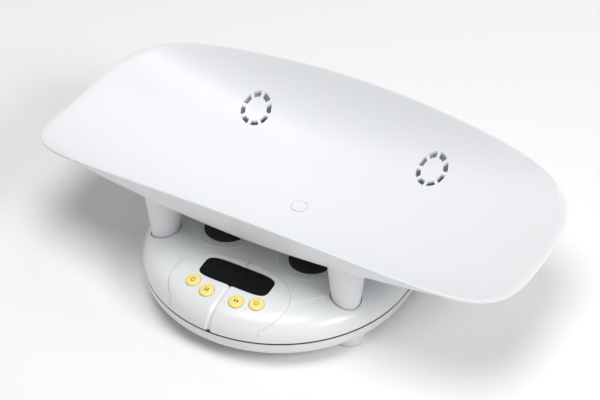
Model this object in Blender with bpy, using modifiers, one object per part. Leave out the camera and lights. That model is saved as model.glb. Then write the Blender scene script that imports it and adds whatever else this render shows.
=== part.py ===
"""Digital baby weighing scale: a trough-shaped tray on four posts, lifted off an oval base
with a front control panel. Metres, +Z up, origin on the floor under the middle of the tray,
the display towards -Y."""

import math

import bmesh
import bpy
from mathutils import Matrix, Vector

# Driving dimensions, metres
GAP = 0.0003
OVERRUN = 0.010
EMBED = 0.0010

# Tray
TRAY_END_OVERHANG = 0.17153
TRAY_SIDE_OVERHANG = 0.04225
TRAY_SIDE_BOW = 0.0205
TRAY_FLOOR_ROOM = 0.0042
TRAY_END_RISE = 0.0404
TRAY_SIDE_RISE = 0.0812
TRAY_CORNER_DROP = 0.0212
TRAY_WALL = 0.0024
TRAY_LIP = 0.0022
TRAY_STEPS = 56
TRAY_RING_shares = (0, 0.2, 0.38, 0.53, 0.65, 0.75, 0.83, 0.89, 0.94, 0.98, 1)
TRAY_CORNER_POWERS = (8.27, 3.84)
TRAY_END_POWER = 1.84
TRAY_TROUGH_POWERS = (2.36, 9)
TRAY_STEEP_share = 0.41
TRAY_MARK_RADIUS = 0.0085
TRAY_MARK_WIDTH = 0.0009
TRAY_MARK_HEIGHT = 0.0004
TRAY_MARK_FLOOR = 0.0001

# Posts under the tray, and the sockets that take them
POST_EDGE_MARGIN = 0.0244
POST_TURN = math.radians(26.4)
POST_DEPTH = 0.0229
POST_END_RADIUS = 0.0135
POST_TAPER_share = 0.104
POST_WALL = 0.0017
POST_ROOT_RISE = 0.0566
POST_SEGMENTS = 20
SLOT_COUNT = 8
SLOT_INNER_RADIUS = 0.0119
SLOT_OUTER_RADIUS = 0.0171
SPOKE_WIDTH = 0.0032
SLOT_REACH = 0.0068
SOCKET_CLEARANCE = 0.0010
SOCKET_WALL = 0.0020

# Base
BASE_RADIUS = 0.1455
BASE_STRAIGHT = 0.0384
ARC_STEPS = 20
SEAM_HEIGHT = 0.0306
SEAM_GAP = 0.0016
PLATFORM_HEIGHT = 0.0612
PLATFORM_MARGIN = 0.0485
SHOULDER_WIDTH = 0.0320
CREASE_DROP = 0.0026
CREASE_STEP = 0.0005
SHOULDER_FALL_share = 0.25
SHOULDER_POWER = 4
SHOULDER_shares = (0.3, 0.55, 0.76, 0.9, 0.97, 1)
COVER_WALL = 0.0030
RIB_HEIGHT = 0.0100
RIB_WIDTH = 0.0020

# Standing mats in dished recesses
MAT_PLACE_share = 0.3505
MAT_RADIUS_share = 0.1622
MAT_END_SPACING = 0.0297
DISH_RADIUS_share = 0.2388
DISH_DEPTH = 0.0013
DISH_BEAD_WIDTH = 0.0012
DISH_BEAD_HEIGHT = 0.0004
DISH_BEAD_TOP_share = 0.4
MAT_THICKNESS = 0.0012
MAT_SET_DEPTH = 0.0009
MAT_ARC_STEPS = 14

# Control panel
PANEL_SETBACK = 0.0416
PANEL_CORNER_SETBACK = 0.0132
PANEL_HALF_WIDTH = 0.0665
PANEL_HALF_DEPTH = 0.0420
PANEL_POWER = 2.2
PANEL_FLARE_share = 0.18
PANEL_STEP = 0.0030
PANEL_CREASE_STEP = 0.0010
PANEL_SLOPE_WIDTH = 0.0370
PANEL_ROLL = 0.0060
PANEL_EDGE_share = 0.15
PANEL_RIM = 0.0005
PANEL_WALL = 0.0030
PANEL_FRONT_SPOKES = 16
PANEL_REAR_SPOKES = 32
PANEL_RING_shares = (0, 0.2, 0.4, 0.6, 0.75, 0.85, 0.91, 0.95, 0.975, 0.99, 1)
GROOVE_REAR_WIDTH = 0.0046
GROOVE_FRONT_WIDTH = 0.0066
GROOVE_DEPTH = 0.0022
GROOVE_FLOOR_share = 0.15

# Display
WINDOW_SETBACK = 0.0575
WINDOW_HALF_WIDTH = 0.0403
WINDOW_HALF_DEPTH = 0.0144
WINDOW_POWER = 4.6
WINDOW_RISE = 0.0009
WINDOW_TILT = math.radians(6.3)
WINDOW_THICKNESS = 0.0018
WINDOW_LEDGE = 0.0022
WINDOW_STEPS = 32
LEDGE_THICKNESS = 0.0009
DISPLAY_WIDTH = 0.0700
DISPLAY_DEPTH = 0.0280
DISPLAY_THICKNESS = 0.0045

# Buttons and their switches
OUTER_BUTTON_X = 0.0375
OUTER_BUTTON_SETBACK = 0.0339
INNER_BUTTON_X = 0.0174
INNER_BUTTON_SETBACK = 0.0275
BUTTON_RADIUS = 0.0078
BUTTON_RISE = 0.0016
BUTTON_DOME_shares = ((0.4, 0.96), (0.7, 0.82), (0.9, 0.58), (1, 0.3))
BUTTON_CLEARANCE = 0.0004
BUTTON_TRAVEL = 0.0010
BUTTON_TILT = math.radians(11)
BUTTON_SEGMENTS = 20
FLANGE_RADIUS = 0.0090
FLANGE_THICKNESS = 0.0010
STEM_RADIUS = 0.0022
STEM_LENGTH = 0.0022
SWITCH_SIDE = 0.0060
SWITCH_HEIGHT = 0.0036
PLUNGER_RADIUS = 0.0017
PLUNGER_HEIGHT = 0.0012
BOARD_THICKNESS = 0.0016
BUTTON_BOARD_WIDTH = 0.1060
BUTTON_BOARD_DEPTH = 0.0220
BOARD_POST_INSET = 0.0050
BOARD_POST_RADIUS = 0.0025
BUTTON_BOARD_SLACK = 0.0012

# Main circuit board under the platform
MAIN_BOARD_Y = -0.0350
MAIN_BOARD_WIDTH = 0.0860
MAIN_BOARD_DEPTH = 0.0480
MAIN_BOARD_DROP = 0.0080
CHIP_SIDE = 0.0120
CHIP_HEIGHT = 0.0016

# Lower housing
BOTTOM_HEIGHT = 0.0115
BOTTOM_WALL = 0.0030
BOTTOM_TUCK = 0.0175
BOTTOM_EDGE_TUCK = 0.0058
BOTTOM_EDGE_RISE = 0.0030
BOTTOM_EDGE_share = 0.25
SIDE_BELLY_share = 0.55
SIDE_BELLY_TUCK = 0.0008
LIP_WALL = 0.0018
LIP_HEIGHT = 0.0034
LIP_CLEARANCE = 0.0005

# Screws that hold the housing to the cover
SCREW_CORNER_MARGIN = 0.0212
SCREW_CORNER_TURN = math.radians(47.5)
SCREW_END_MARGIN = 0.0155
SCREW_RADIUS = 0.0014
SCREW_HOLE_RADIUS = 0.0019
SCREW_HEAD_RADIUS = 0.0034
SCREW_HEAD_HEIGHT = 0.0022
SCREW_HEAD_DEPTH = 0.0060
SCREW_TIP_DEPTH = 0.0137
SCREW_SEGMENTS = 10
BOSS_RADIUS = 0.0056
BOSS_RISE = 0.0034
COVER_BOSS_RADIUS = 0.0042
BOSS_SEGMENTS = 14

# Feet and load cells
FOOT_EDGE_MARGIN = 0.0233
FOOT_TURN = math.radians(24.72)
FOOT_RADIUS = 0.0154
FOOT_BASE_HEIGHT = 0.0008
FOOT_EDGE = 0.0014
FOOT_EDGE_share = 0.3
FOOT_SEGMENTS = 20
PAD_RADIUS = 0.0122
PAD_DEPTH = 0.0012
FOOT_STEM_RADIUS = 0.0048
STEM_HOLE_RADIUS = 0.0060
CELL_SIDE = 0.0290
CELL_THICKNESS = 0.0025
CELL_RISE = 0.0085
CELL_RAIL_WIDTH = 0.0044
CELL_RAIL_SETBACK = 0.0015
CELL_SLOT = 0.0030
CELL_FRAME = 0.0055
CELL_TONGUE_WIDTH = 0.0120

# Battery, its compartment and door
BATTERY_SIZE = (0.0485, 0.0265, 0.0175)
BATTERY_Y = 0.0550
BATTERY_EDGE = 0.0020
SNAP_LENGTH = 0.0050
WELL_ROOM = 0.0050
WELL_WALL = 0.0018
DOOR_LEDGE = 0.0030
DOOR_SET_BACK = 0.0001
DOOR_THICKNESS = 0.0024
DOOR_CLEARANCE = 0.0004
DOOR_FRAME = 0.0045
DOOR_FRAME_HEIGHT = 0.0060
DOOR_BEAD_RADIUS = 0.0012
DOOR_BEAD_share = 0.999
DOOR_PIN_RADIUS = 0.0007
DOOR_PIN_LENGTH = 0.0020
DOOR_CATCH_WIDTH = 0.0140
DOOR_CATCH_HEIGHT = 0.0040
DOOR_CATCH_THICKNESS = 0.0014
DOOR_GRIP_RADIUS = 0.0070

# Places and sizes that follow
BASE_FRONT = -BASE_STRAIGHT - BASE_RADIUS
SEAM_TOP = SEAM_HEIGHT + SEAM_GAP
PLATFORM_RADIUS = BASE_RADIUS - PLATFORM_MARGIN
CREASE_RADIUS = BASE_RADIUS - SHOULDER_WIDTH
CREASE_HEIGHT = PLATFORM_HEIGHT - CREASE_DROP
POST_X = (BASE_RADIUS - POST_EDGE_MARGIN) * math.cos(POST_TURN)
POST_Y = BASE_STRAIGHT + (BASE_RADIUS - POST_EDGE_MARGIN) * math.sin(POST_TURN)
POST_END_HEIGHT = PLATFORM_HEIGHT - POST_DEPTH
SOCKET_FLOOR = POST_END_HEIGHT - GAP
TRAY_HALF_LENGTH = POST_X + TRAY_END_OVERHANG
TRAY_HALF_WIDTH = POST_Y + TRAY_SIDE_OVERHANG
TRAY_FLOOR_HEIGHT = PLATFORM_HEIGHT + TRAY_FLOOR_ROOM
POST_TOP_HEIGHT = TRAY_FLOOR_HEIGHT + POST_ROOT_RISE
MAT_X = BASE_RADIUS * MAT_PLACE_share
MAT_RADIUS = BASE_RADIUS * MAT_RADIUS_share
MAT_ARC_Y = POST_Y - MAT_END_SPACING
DISH_RADIUS = BASE_RADIUS * DISH_RADIUS_share
PANEL_CENTRE_Y = BASE_FRONT + PANEL_SETBACK
PANEL_FRONT_Y = BASE_FRONT + PANEL_CORNER_SETBACK
PANEL_REAR_RADIUS = -BASE_STRAIGHT - PANEL_CENTRE_Y - PANEL_HALF_DEPTH
PANEL_SLOPE_RADIUS = CREASE_RADIUS - PANEL_SLOPE_WIDTH
PANEL_SPOKES = PANEL_FRONT_SPOKES + PANEL_REAR_SPOKES
WINDOW_Y = BASE_FRONT + WINDOW_SETBACK
WINDOW_HEIGHT = PLATFORM_HEIGHT + WINDOW_RISE
BUTTON_PLACES = {
    "zero_button": (-OUTER_BUTTON_X, BASE_FRONT + OUTER_BUTTON_SETBACK),
    "hold_button": (-INNER_BUTTON_X, BASE_FRONT + INNER_BUTTON_SETBACK),
    "unit_button": (INNER_BUTTON_X, BASE_FRONT + INNER_BUTTON_SETBACK),
    "power_button": (OUTER_BUTTON_X, BASE_FRONT + OUTER_BUTTON_SETBACK),
}
FLANGE_TOP = -PANEL_WALL - GAP
BOARD_DROP = (PANEL_WALL + GAP + FLANGE_THICKNESS + STEM_LENGTH + BUTTON_TRAVEL + GAP
              + PLUNGER_HEIGHT + SWITCH_HEIGHT + GAP + BUTTON_BOARD_SLACK)
BOTTOM_RADIUS = BASE_RADIUS - BOTTOM_TUCK
BOTTOM_EDGE_RADIUS = BASE_RADIUS - BOTTOM_EDGE_TUCK
SIDE_BELLY_RADIUS = BASE_RADIUS - SIDE_BELLY_TUCK
BOSS_HEIGHT = SEAM_HEIGHT + BOSS_RISE
SCREW_SEAT = BOTTOM_HEIGHT + SCREW_HEAD_DEPTH
SCREW_TOP = PLATFORM_HEIGHT - SCREW_TIP_DEPTH
SCREW_X = (BASE_RADIUS - SCREW_CORNER_MARGIN) * math.cos(SCREW_CORNER_TURN)
SCREW_Y = BASE_STRAIGHT + (BASE_RADIUS - SCREW_CORNER_MARGIN) * math.sin(SCREW_CORNER_TURN)
SCREW_END_X = BASE_RADIUS - SCREW_END_MARGIN
SCREW_PLACES = (
    (-SCREW_X, -SCREW_Y), (SCREW_X, -SCREW_Y), (SCREW_END_X, 0),
    (SCREW_X, SCREW_Y), (-SCREW_X, SCREW_Y), (-SCREW_END_X, 0),
)
FOOT_X = (BASE_RADIUS - FOOT_EDGE_MARGIN) * math.cos(FOOT_TURN)
FOOT_Y = BASE_STRAIGHT + (BASE_RADIUS - FOOT_EDGE_MARGIN) * math.sin(FOOT_TURN)
CELL_HEIGHT = BOTTOM_HEIGHT + CELL_RISE
DOOR_HEIGHT = BOTTOM_HEIGHT + DOOR_SET_BACK
DOOR_TOP = DOOR_HEIGHT + DOOR_THICKNESS
WELL_ROOF = DOOR_TOP + GAP + BATTERY_SIZE[2] + GAP
CREASE_SHARP = math.radians(24)
TURN_MERGE = 0.00005
WELD = 0.000005


def make_collection(name):
    collection = bpy.data.collections.new(name)
    bpy.context.scene.collection.children.link(collection)
    return collection


def make_material(name, colour, roughness, metallic=0.0):
    material = bpy.data.materials.new(name)
    material.use_nodes = True
    shader = material.node_tree.nodes["Principled BSDF"]
    shader.inputs["Base Color"].default_value = (*colour, 1.0)
    shader.inputs["Roughness"].default_value = roughness
    shader.inputs["Metallic"].default_value = metallic
    material.diffuse_color = (*colour, 1.0)
    return material


def finish_object(name, bm, finish=None):
    """A bmesh becomes a part where a finish is given, and a cutter where none is."""
    bmesh.ops.recalc_face_normals(bm, faces=bm.faces)
    mesh = bpy.data.meshes.new(name)
    bm.to_mesh(mesh)
    bm.free()
    if len(mesh.polygons):
        mesh.shade_smooth()
        mesh.set_sharp_from_angle(angle=CREASE_SHARP)
    item = bpy.data.objects.new(name, mesh)
    if finish:
        mesh.materials.append(finish)
        parts.objects.link(item)
    else:
        item.hide_render = True
        item.display_type = "WIRE"
        cutters.objects.link(item)
    return item


def combine(target, other, operation):
    step = target.modifiers.new(other.name, "BOOLEAN")
    step.operation = operation
    step.object = other
    step.solver = "EXACT"


def add_cylinder(bm, radius, low, high, place=(0, 0), frame=None, segments=BOSS_SEGMENTS,
                 top_radius=None):
    """An upright cylinder or cone, in the given frame where there is one."""
    middle = Matrix.Translation((place[0], place[1], (low + high) / 2))
    bmesh.ops.create_cone(
        bm, cap_ends=True, segments=segments, radius1=radius,
        radius2=radius if top_radius is None else top_radius, depth=high - low,
        matrix=(frame or Matrix()) @ middle,
    )


def add_box(bm, low, high, frame=None):
    size = Vector(high) - Vector(low)
    middle = Matrix.Translation((Vector(low) + Vector(high)) / 2)
    bmesh.ops.create_cube(bm, size=1, matrix=(frame or Matrix()) @ middle @ Matrix.Diagonal((*size, 1)))


def add_prism(bm, outline, low, high, frame=None):
    """A flat outline in X and Y, raised from low to high."""
    matrix = frame or Matrix()
    face = bm.faces.new([bm.verts.new(matrix @ Vector((x, y, low))) for x, y in outline])
    raised = bmesh.ops.extrude_face_region(bm, geom=[face])["geom"]
    top = [item for item in raised if isinstance(item, bmesh.types.BMVert)]
    shift = matrix.to_3x3() @ Vector((0, 0, high - low))
    bmesh.ops.translate(bm, verts=top, vec=shift)


def turned_object(name, path, finish, place, segments):
    """A profile at +X, top to bottom down its outer side, turned round the Z axis."""
    bm = bmesh.new()
    points = [bm.verts.new((radius, 0, height)) for radius, height in path]
    for pair in zip(points, points[1:]):
        bm.edges.new(pair)
    item = finish_object(name, bm, finish)
    item.location = place
    turn = item.modifiers.new("Turn", "SCREW")
    turn.steps = segments
    turn.render_steps = segments
    turn.use_merge_vertices = True
    turn.merge_threshold = TURN_MERGE
    turn.use_smooth_shade = True
    return item


def add_oval(bm, path, straight, steps, centre=(0, 0)):
    """A profile of radius and height carried round a stadium, whose arcs have their centres
    at Y = -straight and +straight."""
    x, y = centre
    start = [bm.verts.new((x + radius, y - straight, height)) for radius, height in path]
    line = [bm.edges.new(pair) for pair in zip(start, start[1:])]
    for side in (-1, 1):
        turned = bmesh.ops.spin(
            bm, geom=start + line, cent=(x, y + side * straight, 0), axis=(0, 0, 1),
            angle=-math.pi, steps=steps, use_duplicate=False,
        )
        line = [item for item in turned["geom_last"] if isinstance(item, bmesh.types.BMEdge)]
        run = bmesh.ops.extrude_edge_only(bm, edges=line)["geom"]
        start = [item for item in run if isinstance(item, bmesh.types.BMVert)]
        line = [item for item in run if isinstance(item, bmesh.types.BMEdge)
                and all(vert in start for vert in item.verts)]
        bmesh.ops.translate(bm, verts=start, vec=(0, -2 * side * straight, 0))
    bmesh.ops.remove_doubles(bm, verts=bm.verts, dist=WELD)


def add_loft(bm, sections):
    """A closed run of sections with as many points each."""
    rings = [[bm.verts.new(point) for point in section] for section in sections]
    for start, end in zip(rings, rings[1:]):
        for i in range(len(start)):
            bm.faces.new((start[i - 1], start[i], end[i], end[i - 1]))
    bm.faces.new(rings[0])
    bm.faces.new(rings[-1])


def inset(path, depth):
    """The same profile, moved in by a wall. The path runs from the axis outwards and down."""
    moved = []
    for i, (radius, height) in enumerate(path):
        normals = []
        for a, b in ((i - 1, i), (i, i + 1)):
            if a >= 0 and b < len(path):
                run = Vector((path[b][0] - path[a][0], path[b][1] - path[a][1])).normalized()
                normals.append(Vector((run.y, -run.x)))
        mean = sum(normals, Vector((0, 0))).normalized()
        reach = depth / mean.dot(normals[0])
        moved.append([radius + mean.x * reach, height + mean.y * reach])
    moved[0][0] = path[0][0]
    moved[-1] = [path[-1][0] - depth, path[-1][1]]
    return [tuple(point) for point in moved]


def shoulder(top_height):
    """The rounded shoulder from the crease down to the seam."""
    points = []
    for share in SHOULDER_shares:
        fall = (1 - SHOULDER_FALL_share * share) * math.sqrt(1 - share**SHOULDER_POWER)
        radius = CREASE_RADIUS + (BASE_RADIUS - CREASE_RADIUS) * share
        points.append((radius, SEAM_TOP + (top_height - SEAM_TOP) * fall))
    return points


def cover_path():
    """Flat platform, sloping edge, a small step down at the crease, and the shoulder."""
    return [
        (0, PLATFORM_HEIGHT), (PLATFORM_RADIUS, PLATFORM_HEIGHT),
        (CREASE_RADIUS - CREASE_STEP, CREASE_HEIGHT + CREASE_STEP), (CREASE_RADIUS, CREASE_HEIGHT),
    ] + shoulder(CREASE_HEIGHT)


def panel_path():
    """The panel stands over the cover, by its full step behind and by less past the crease."""
    crown = PLATFORM_HEIGHT + PANEL_STEP
    crease = CREASE_HEIGHT + PANEL_CREASE_STEP
    return [(0, crown), (PANEL_SLOPE_RADIUS, crown), (CREASE_RADIUS, crease)] + shoulder(crease)


def path_height(path, radius):
    for (r0, z0), (r1, z1) in zip(path, path[1:]):
        if r0 <= radius <= r1:
            return z0 + (z1 - z0) * (radius - r0) / (r1 - r0)
    return path[-1][1]


def superellipse(half_width, half_depth, power, steps, centre_y):
    points = []
    for i in range(steps):
        angle = 2 * math.pi * i / steps
        c, s = math.cos(angle), math.sin(angle)
        points.append((
            half_width * math.copysign(abs(c) ** (2 / power), c),
            centre_y + half_depth * math.copysign(abs(s) ** (2 / power), s),
        ))
    return points


def panel_half_width(y, grow):
    """Half the panel's width in plan: an oval, which runs out to the front past its corners."""
    power, depth = PANEL_POWER, PANEL_HALF_DEPTH + grow
    share = abs(max(y, PANEL_FRONT_Y) - PANEL_CENTRE_Y) / depth
    oval = (PANEL_HALF_WIDTH + grow) * max(1 - share**power, 0) ** (1 / power)
    return oval + max(PANEL_FRONT_Y - y, 0) * PANEL_FLARE_share


def panel_reach(angle, grow, limit):
    """How far the panel lies from its middle, up to the limit of radius, found by halving."""
    low, high = 0.0, 2 * PANEL_HALF_WIDTH
    for _ in range(40):
        mid = (low + high) / 2
        x, y = mid * math.cos(angle), PANEL_CENTRE_Y + mid * math.sin(angle)
        inside = abs(x) < panel_half_width(y, grow) and math.hypot(x, y + BASE_STRAIGHT) < limit
        low, high = (mid, high) if inside else (low, mid)
    return low


def panel_angles():
    """The spokes of the panel, counted from its right front corner round the rear."""
    low, high = -math.pi / 2, 0.0
    for _ in range(40):
        mid = (low + high) / 2
        x, y = (panel_reach(mid, 0, BASE_RADIUS) * part for part in (math.cos(mid), math.sin(mid)))
        front = math.hypot(x, PANEL_CENTRE_Y + y + BASE_STRAIGHT) > BASE_RADIUS - WELD
        low, high = (mid, high) if front else (low, mid)
    rear, front = math.pi - 2 * low, math.pi + 2 * low
    angles = [low + rear * i / PANEL_REAR_SPOKES for i in range(PANEL_REAR_SPOKES)]
    return angles + [low + rear + front * i / PANEL_FRONT_SPOKES for i in range(PANEL_FRONT_SPOKES)]


def panel_opening():
    """The panel's outline in plan with a gap round it, carried out past the front of the base."""
    edge = []
    for angle in panel_angles()[:PANEL_REAR_SPOKES + 1]:
        reach = panel_reach(angle, GAP, BASE_RADIUS)
        edge.append((reach * math.cos(angle), PANEL_CENTRE_Y + reach * math.sin(angle)))
    front_y = BASE_FRONT - OVERRUN
    corner_x = panel_half_width(front_y, GAP)
    return edge + [(-corner_x, front_y), (corner_x, front_y)]


def panel_height(x, y, margin):
    """The panel's upper face: it rolls down to its oval edge, the given margin away."""
    radius = math.hypot(x, y + BASE_STRAIGHT)
    low, high = path_height(cover_path(), radius), path_height(panel_path(), radius)
    roll = math.sqrt(1 - (1 - min(max(margin / PANEL_ROLL, 0), 1)) ** 2)
    height = low + (high - low) * (PANEL_EDGE_share + (1 - PANEL_EDGE_share) * roll)
    return max(height, SEAM_TOP + PANEL_RIM)


def add_panel_sheet(bm):
    """A turned disc whose rings and spokes are drawn out to the panel's outline and heights."""
    points = [bm.verts.new((share, 0, 0)) for share in PANEL_RING_shares]
    edges = [bm.edges.new(pair) for pair in zip(points, points[1:])]
    bmesh.ops.spin(
        bm, geom=points + edges, cent=(0, 0, 0), axis=(0, 0, 1), angle=2 * math.pi,
        steps=PANEL_SPOKES, use_merge=True, use_duplicate=False,
    )
    bmesh.ops.remove_doubles(bm, verts=bm.verts, dist=WELD)
    angles = panel_angles()
    for vert in bm.verts:
        share, turn = vert.co.xy.length, math.atan2(vert.co.y, vert.co.x) / (2 * math.pi)
        angle = angles[round(turn * PANEL_SPOKES) % PANEL_SPOKES]
        reach = panel_reach(angle, 0, BASE_RADIUS) * share
        margin = panel_reach(angle, 0, 2 * BASE_RADIUS) - reach
        x, y = reach * math.cos(angle), PANEL_CENTRE_Y + reach * math.sin(angle)
        vert.co = (x, y, panel_height(x, y, margin))


def window_frame():
    return Matrix.Translation((0, WINDOW_Y, WINDOW_HEIGHT)) @ Matrix.Rotation(WINDOW_TILT, 4, "X")


def button_frame(name):
    """Z along the button's own axis, with its origin on the panel's surface."""
    x, y = BUTTON_PLACES[name]
    outward = Vector((x, y + BASE_STRAIGHT, 0))
    height = path_height(panel_path(), outward.length)
    normal = (outward.normalized() * math.sin(BUTTON_TILT)) + Vector((0, 0, math.cos(BUTTON_TILT)))
    turn = Vector((0, 0, 1)).rotation_difference(normal).to_matrix().to_4x4()
    return Matrix.Translation((x, y, height)) @ turn


def board_frame():
    """The button board's top face, square to the mean of the buttons' axes."""
    frames = [button_frame(name) for name in BUTTON_PLACES]
    middle = sum((frame.translation for frame in frames), Vector()) / len(frames)
    turn = Matrix.Rotation(BUTTON_TILT, 4, "X")
    return Matrix.Translation((0, middle.y, middle.z)) @ turn @ Matrix.Translation((0, 0, -BOARD_DROP))


def board_post_length(x):
    """From the button board up into the lower half of the panel's wall."""
    top = board_frame() @ Vector((x, 0, BOARD_DROP))
    height = path_height(panel_path(), math.hypot(top.x, top.y + BASE_STRAIGHT))
    return BOARD_DROP + (height - top.z) * math.cos(BUTTON_TILT) - (PANEL_WALL + GROOVE_DEPTH) / 2


def corners(x, y):
    return {
        "front_left": (-x, -y), "front_right": (x, -y),
        "rear_left": (-x, y), "rear_right": (x, y),
    }


def rim_reach(angle, half_length, half_width):
    """How far the tray's outline lies along a direction, found by halving."""
    c, s = abs(math.cos(angle)), abs(math.sin(angle))
    n, m = TRAY_CORNER_POWERS
    bow = TRAY_SIDE_BOW / TRAY_HALF_WIDTH
    low, high = 0.0, math.sqrt(2)
    for _ in range(40):
        mid = (low + high) / 2
        along = mid * c
        inside = along < 1 and mid * s < (1 - bow * along**2) * (1 - along**n) ** (1 / m)
        low, high = (mid, high) if inside else (low, mid)
    return low * half_length * math.cos(angle), low * half_width * math.sin(angle)


def tray_height(x, y):
    """Height of the tray's upper face: it climbs gently to the ends and steeply to the sides."""
    along = abs(x) / (TRAY_HALF_LENGTH - TRAY_LIP)
    across = abs(y) / (TRAY_HALF_WIDTH - TRAY_LIP)
    soft, steep = TRAY_TROUGH_POWERS
    trough = (1 - TRAY_STEEP_share) * across**soft + TRAY_STEEP_share * across**steep
    side = TRAY_SIDE_RISE - TRAY_CORNER_DROP * along**2
    return TRAY_FLOOR_HEIGHT + TRAY_END_RISE * along**TRAY_END_POWER + side * trough


def add_tray_sheet(bm, drop=0, with_lip=True):
    """A turned disc whose rings and spokes are drawn out to the tray's outline and heights."""
    shares = list(TRAY_RING_shares) + ([TRAY_RING_shares[-1] + 1] if with_lip else [])
    points = [bm.verts.new((share, 0, 0)) for share in shares]
    edges = [bm.edges.new(pair) for pair in zip(points, points[1:])]
    bmesh.ops.spin(
        bm, geom=points + edges, cent=(0, 0, 0), axis=(0, 0, 1), angle=2 * math.pi,
        steps=TRAY_STEPS, use_merge=True, use_duplicate=False,
    )
    bmesh.ops.remove_doubles(bm, verts=bm.verts, dist=WELD)
    for vert in bm.verts:
        share, angle = vert.co.xy.length, math.atan2(vert.co.y, vert.co.x)
        inner = rim_reach(angle, TRAY_HALF_LENGTH - TRAY_LIP, TRAY_HALF_WIDTH - TRAY_LIP)
        if share > TRAY_RING_shares[-1] + WELD:
            x, y = rim_reach(angle, TRAY_HALF_LENGTH, TRAY_HALF_WIDTH)
            vert.co = (x, y, tray_height(*inner) - drop)
        else:
            x, y = inner[0] * share, inner[1] * share
            vert.co = (x, y, tray_height(x, y) - drop)


def post_radius(height):
    return POST_END_RADIUS + (height - POST_END_HEIGHT) * POST_TAPER_share


def make_tray():
    bm = bmesh.new()
    add_tray_sheet(bm)
    tray = finish_object("tray", bm, white_plastic)
    wall = tray.modifiers.new("Wall", "SOLIDIFY")
    wall.thickness = TRAY_WALL
    wall.offset = -1
    wall.use_even_offset = True

    bm = bmesh.new()
    add_tray_sheet(bm, drop=TRAY_WALL / 2, with_lip=False)
    raised = bmesh.ops.extrude_face_region(bm, geom=bm.faces[:])["geom"]
    top = [item for item in raised if isinstance(item, bmesh.types.BMVert)]
    bmesh.ops.translate(bm, verts=top, vec=(0, 0, TRAY_SIDE_RISE))
    above = finish_object("above_tray", bm)

    wall_top, wall_end = post_radius(POST_TOP_HEIGHT), POST_END_RADIUS
    path = [
        (wall_top - POST_WALL, POST_TOP_HEIGHT), (wall_top, POST_TOP_HEIGHT), (wall_end, POST_END_HEIGHT),
        (wall_end - POST_WALL, POST_END_HEIGHT), (wall_top - POST_WALL, POST_TOP_HEIGHT),
    ]
    for side, (x, y) in corners(POST_X, POST_Y).items():
        post = turned_object("post_" + side, path, None, (x, y, 0), POST_SEGMENTS)
        combine(post, above, "DIFFERENCE")
        combine(tray, post, "UNION")

    bm = bmesh.new()
    pitch = 2 * math.pi / SLOT_COUNT
    for x, y in corners(POST_X, POST_Y).values():
        for i in range(SLOT_COUNT):
            angle = (i + 0.5) * pitch
            middle = (SLOT_INNER_RADIUS + SLOT_OUTER_RADIUS) / 2
            height = tray_height(x + middle * math.cos(angle), y + middle * math.sin(angle))
            outline = []
            for radius, order in ((SLOT_INNER_RADIUS, (-1, 1)), (SLOT_OUTER_RADIUS, (1, -1))):
                half = pitch / 2 - SPOKE_WIDTH / 2 / radius
                for step in order:
                    outline.append((
                        x + radius * math.cos(angle + step * half),
                        y + radius * math.sin(angle + step * half),
                    ))
            add_prism(bm, outline, height - SLOT_REACH, height + SLOT_REACH)
    combine(tray, finish_object("tray_slots", bm), "DIFFERENCE")

    bm = bmesh.new()
    low, high = TRAY_FLOOR_HEIGHT - EMBED, TRAY_FLOOR_HEIGHT + TRAY_MARK_HEIGHT
    add_cylinder(bm, TRAY_MARK_RADIUS, low, high, segments=POST_SEGMENTS)
    combine(tray, finish_object("tray_mark", bm), "UNION")
    bm = bmesh.new()
    inner, low = TRAY_MARK_RADIUS - TRAY_MARK_WIDTH, TRAY_FLOOR_HEIGHT + TRAY_MARK_FLOOR
    add_cylinder(bm, inner, low, TRAY_FLOOR_HEIGHT + OVERRUN, segments=POST_SEGMENTS)
    combine(tray, finish_object("tray_mark_middle", bm), "DIFFERENCE")


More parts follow.
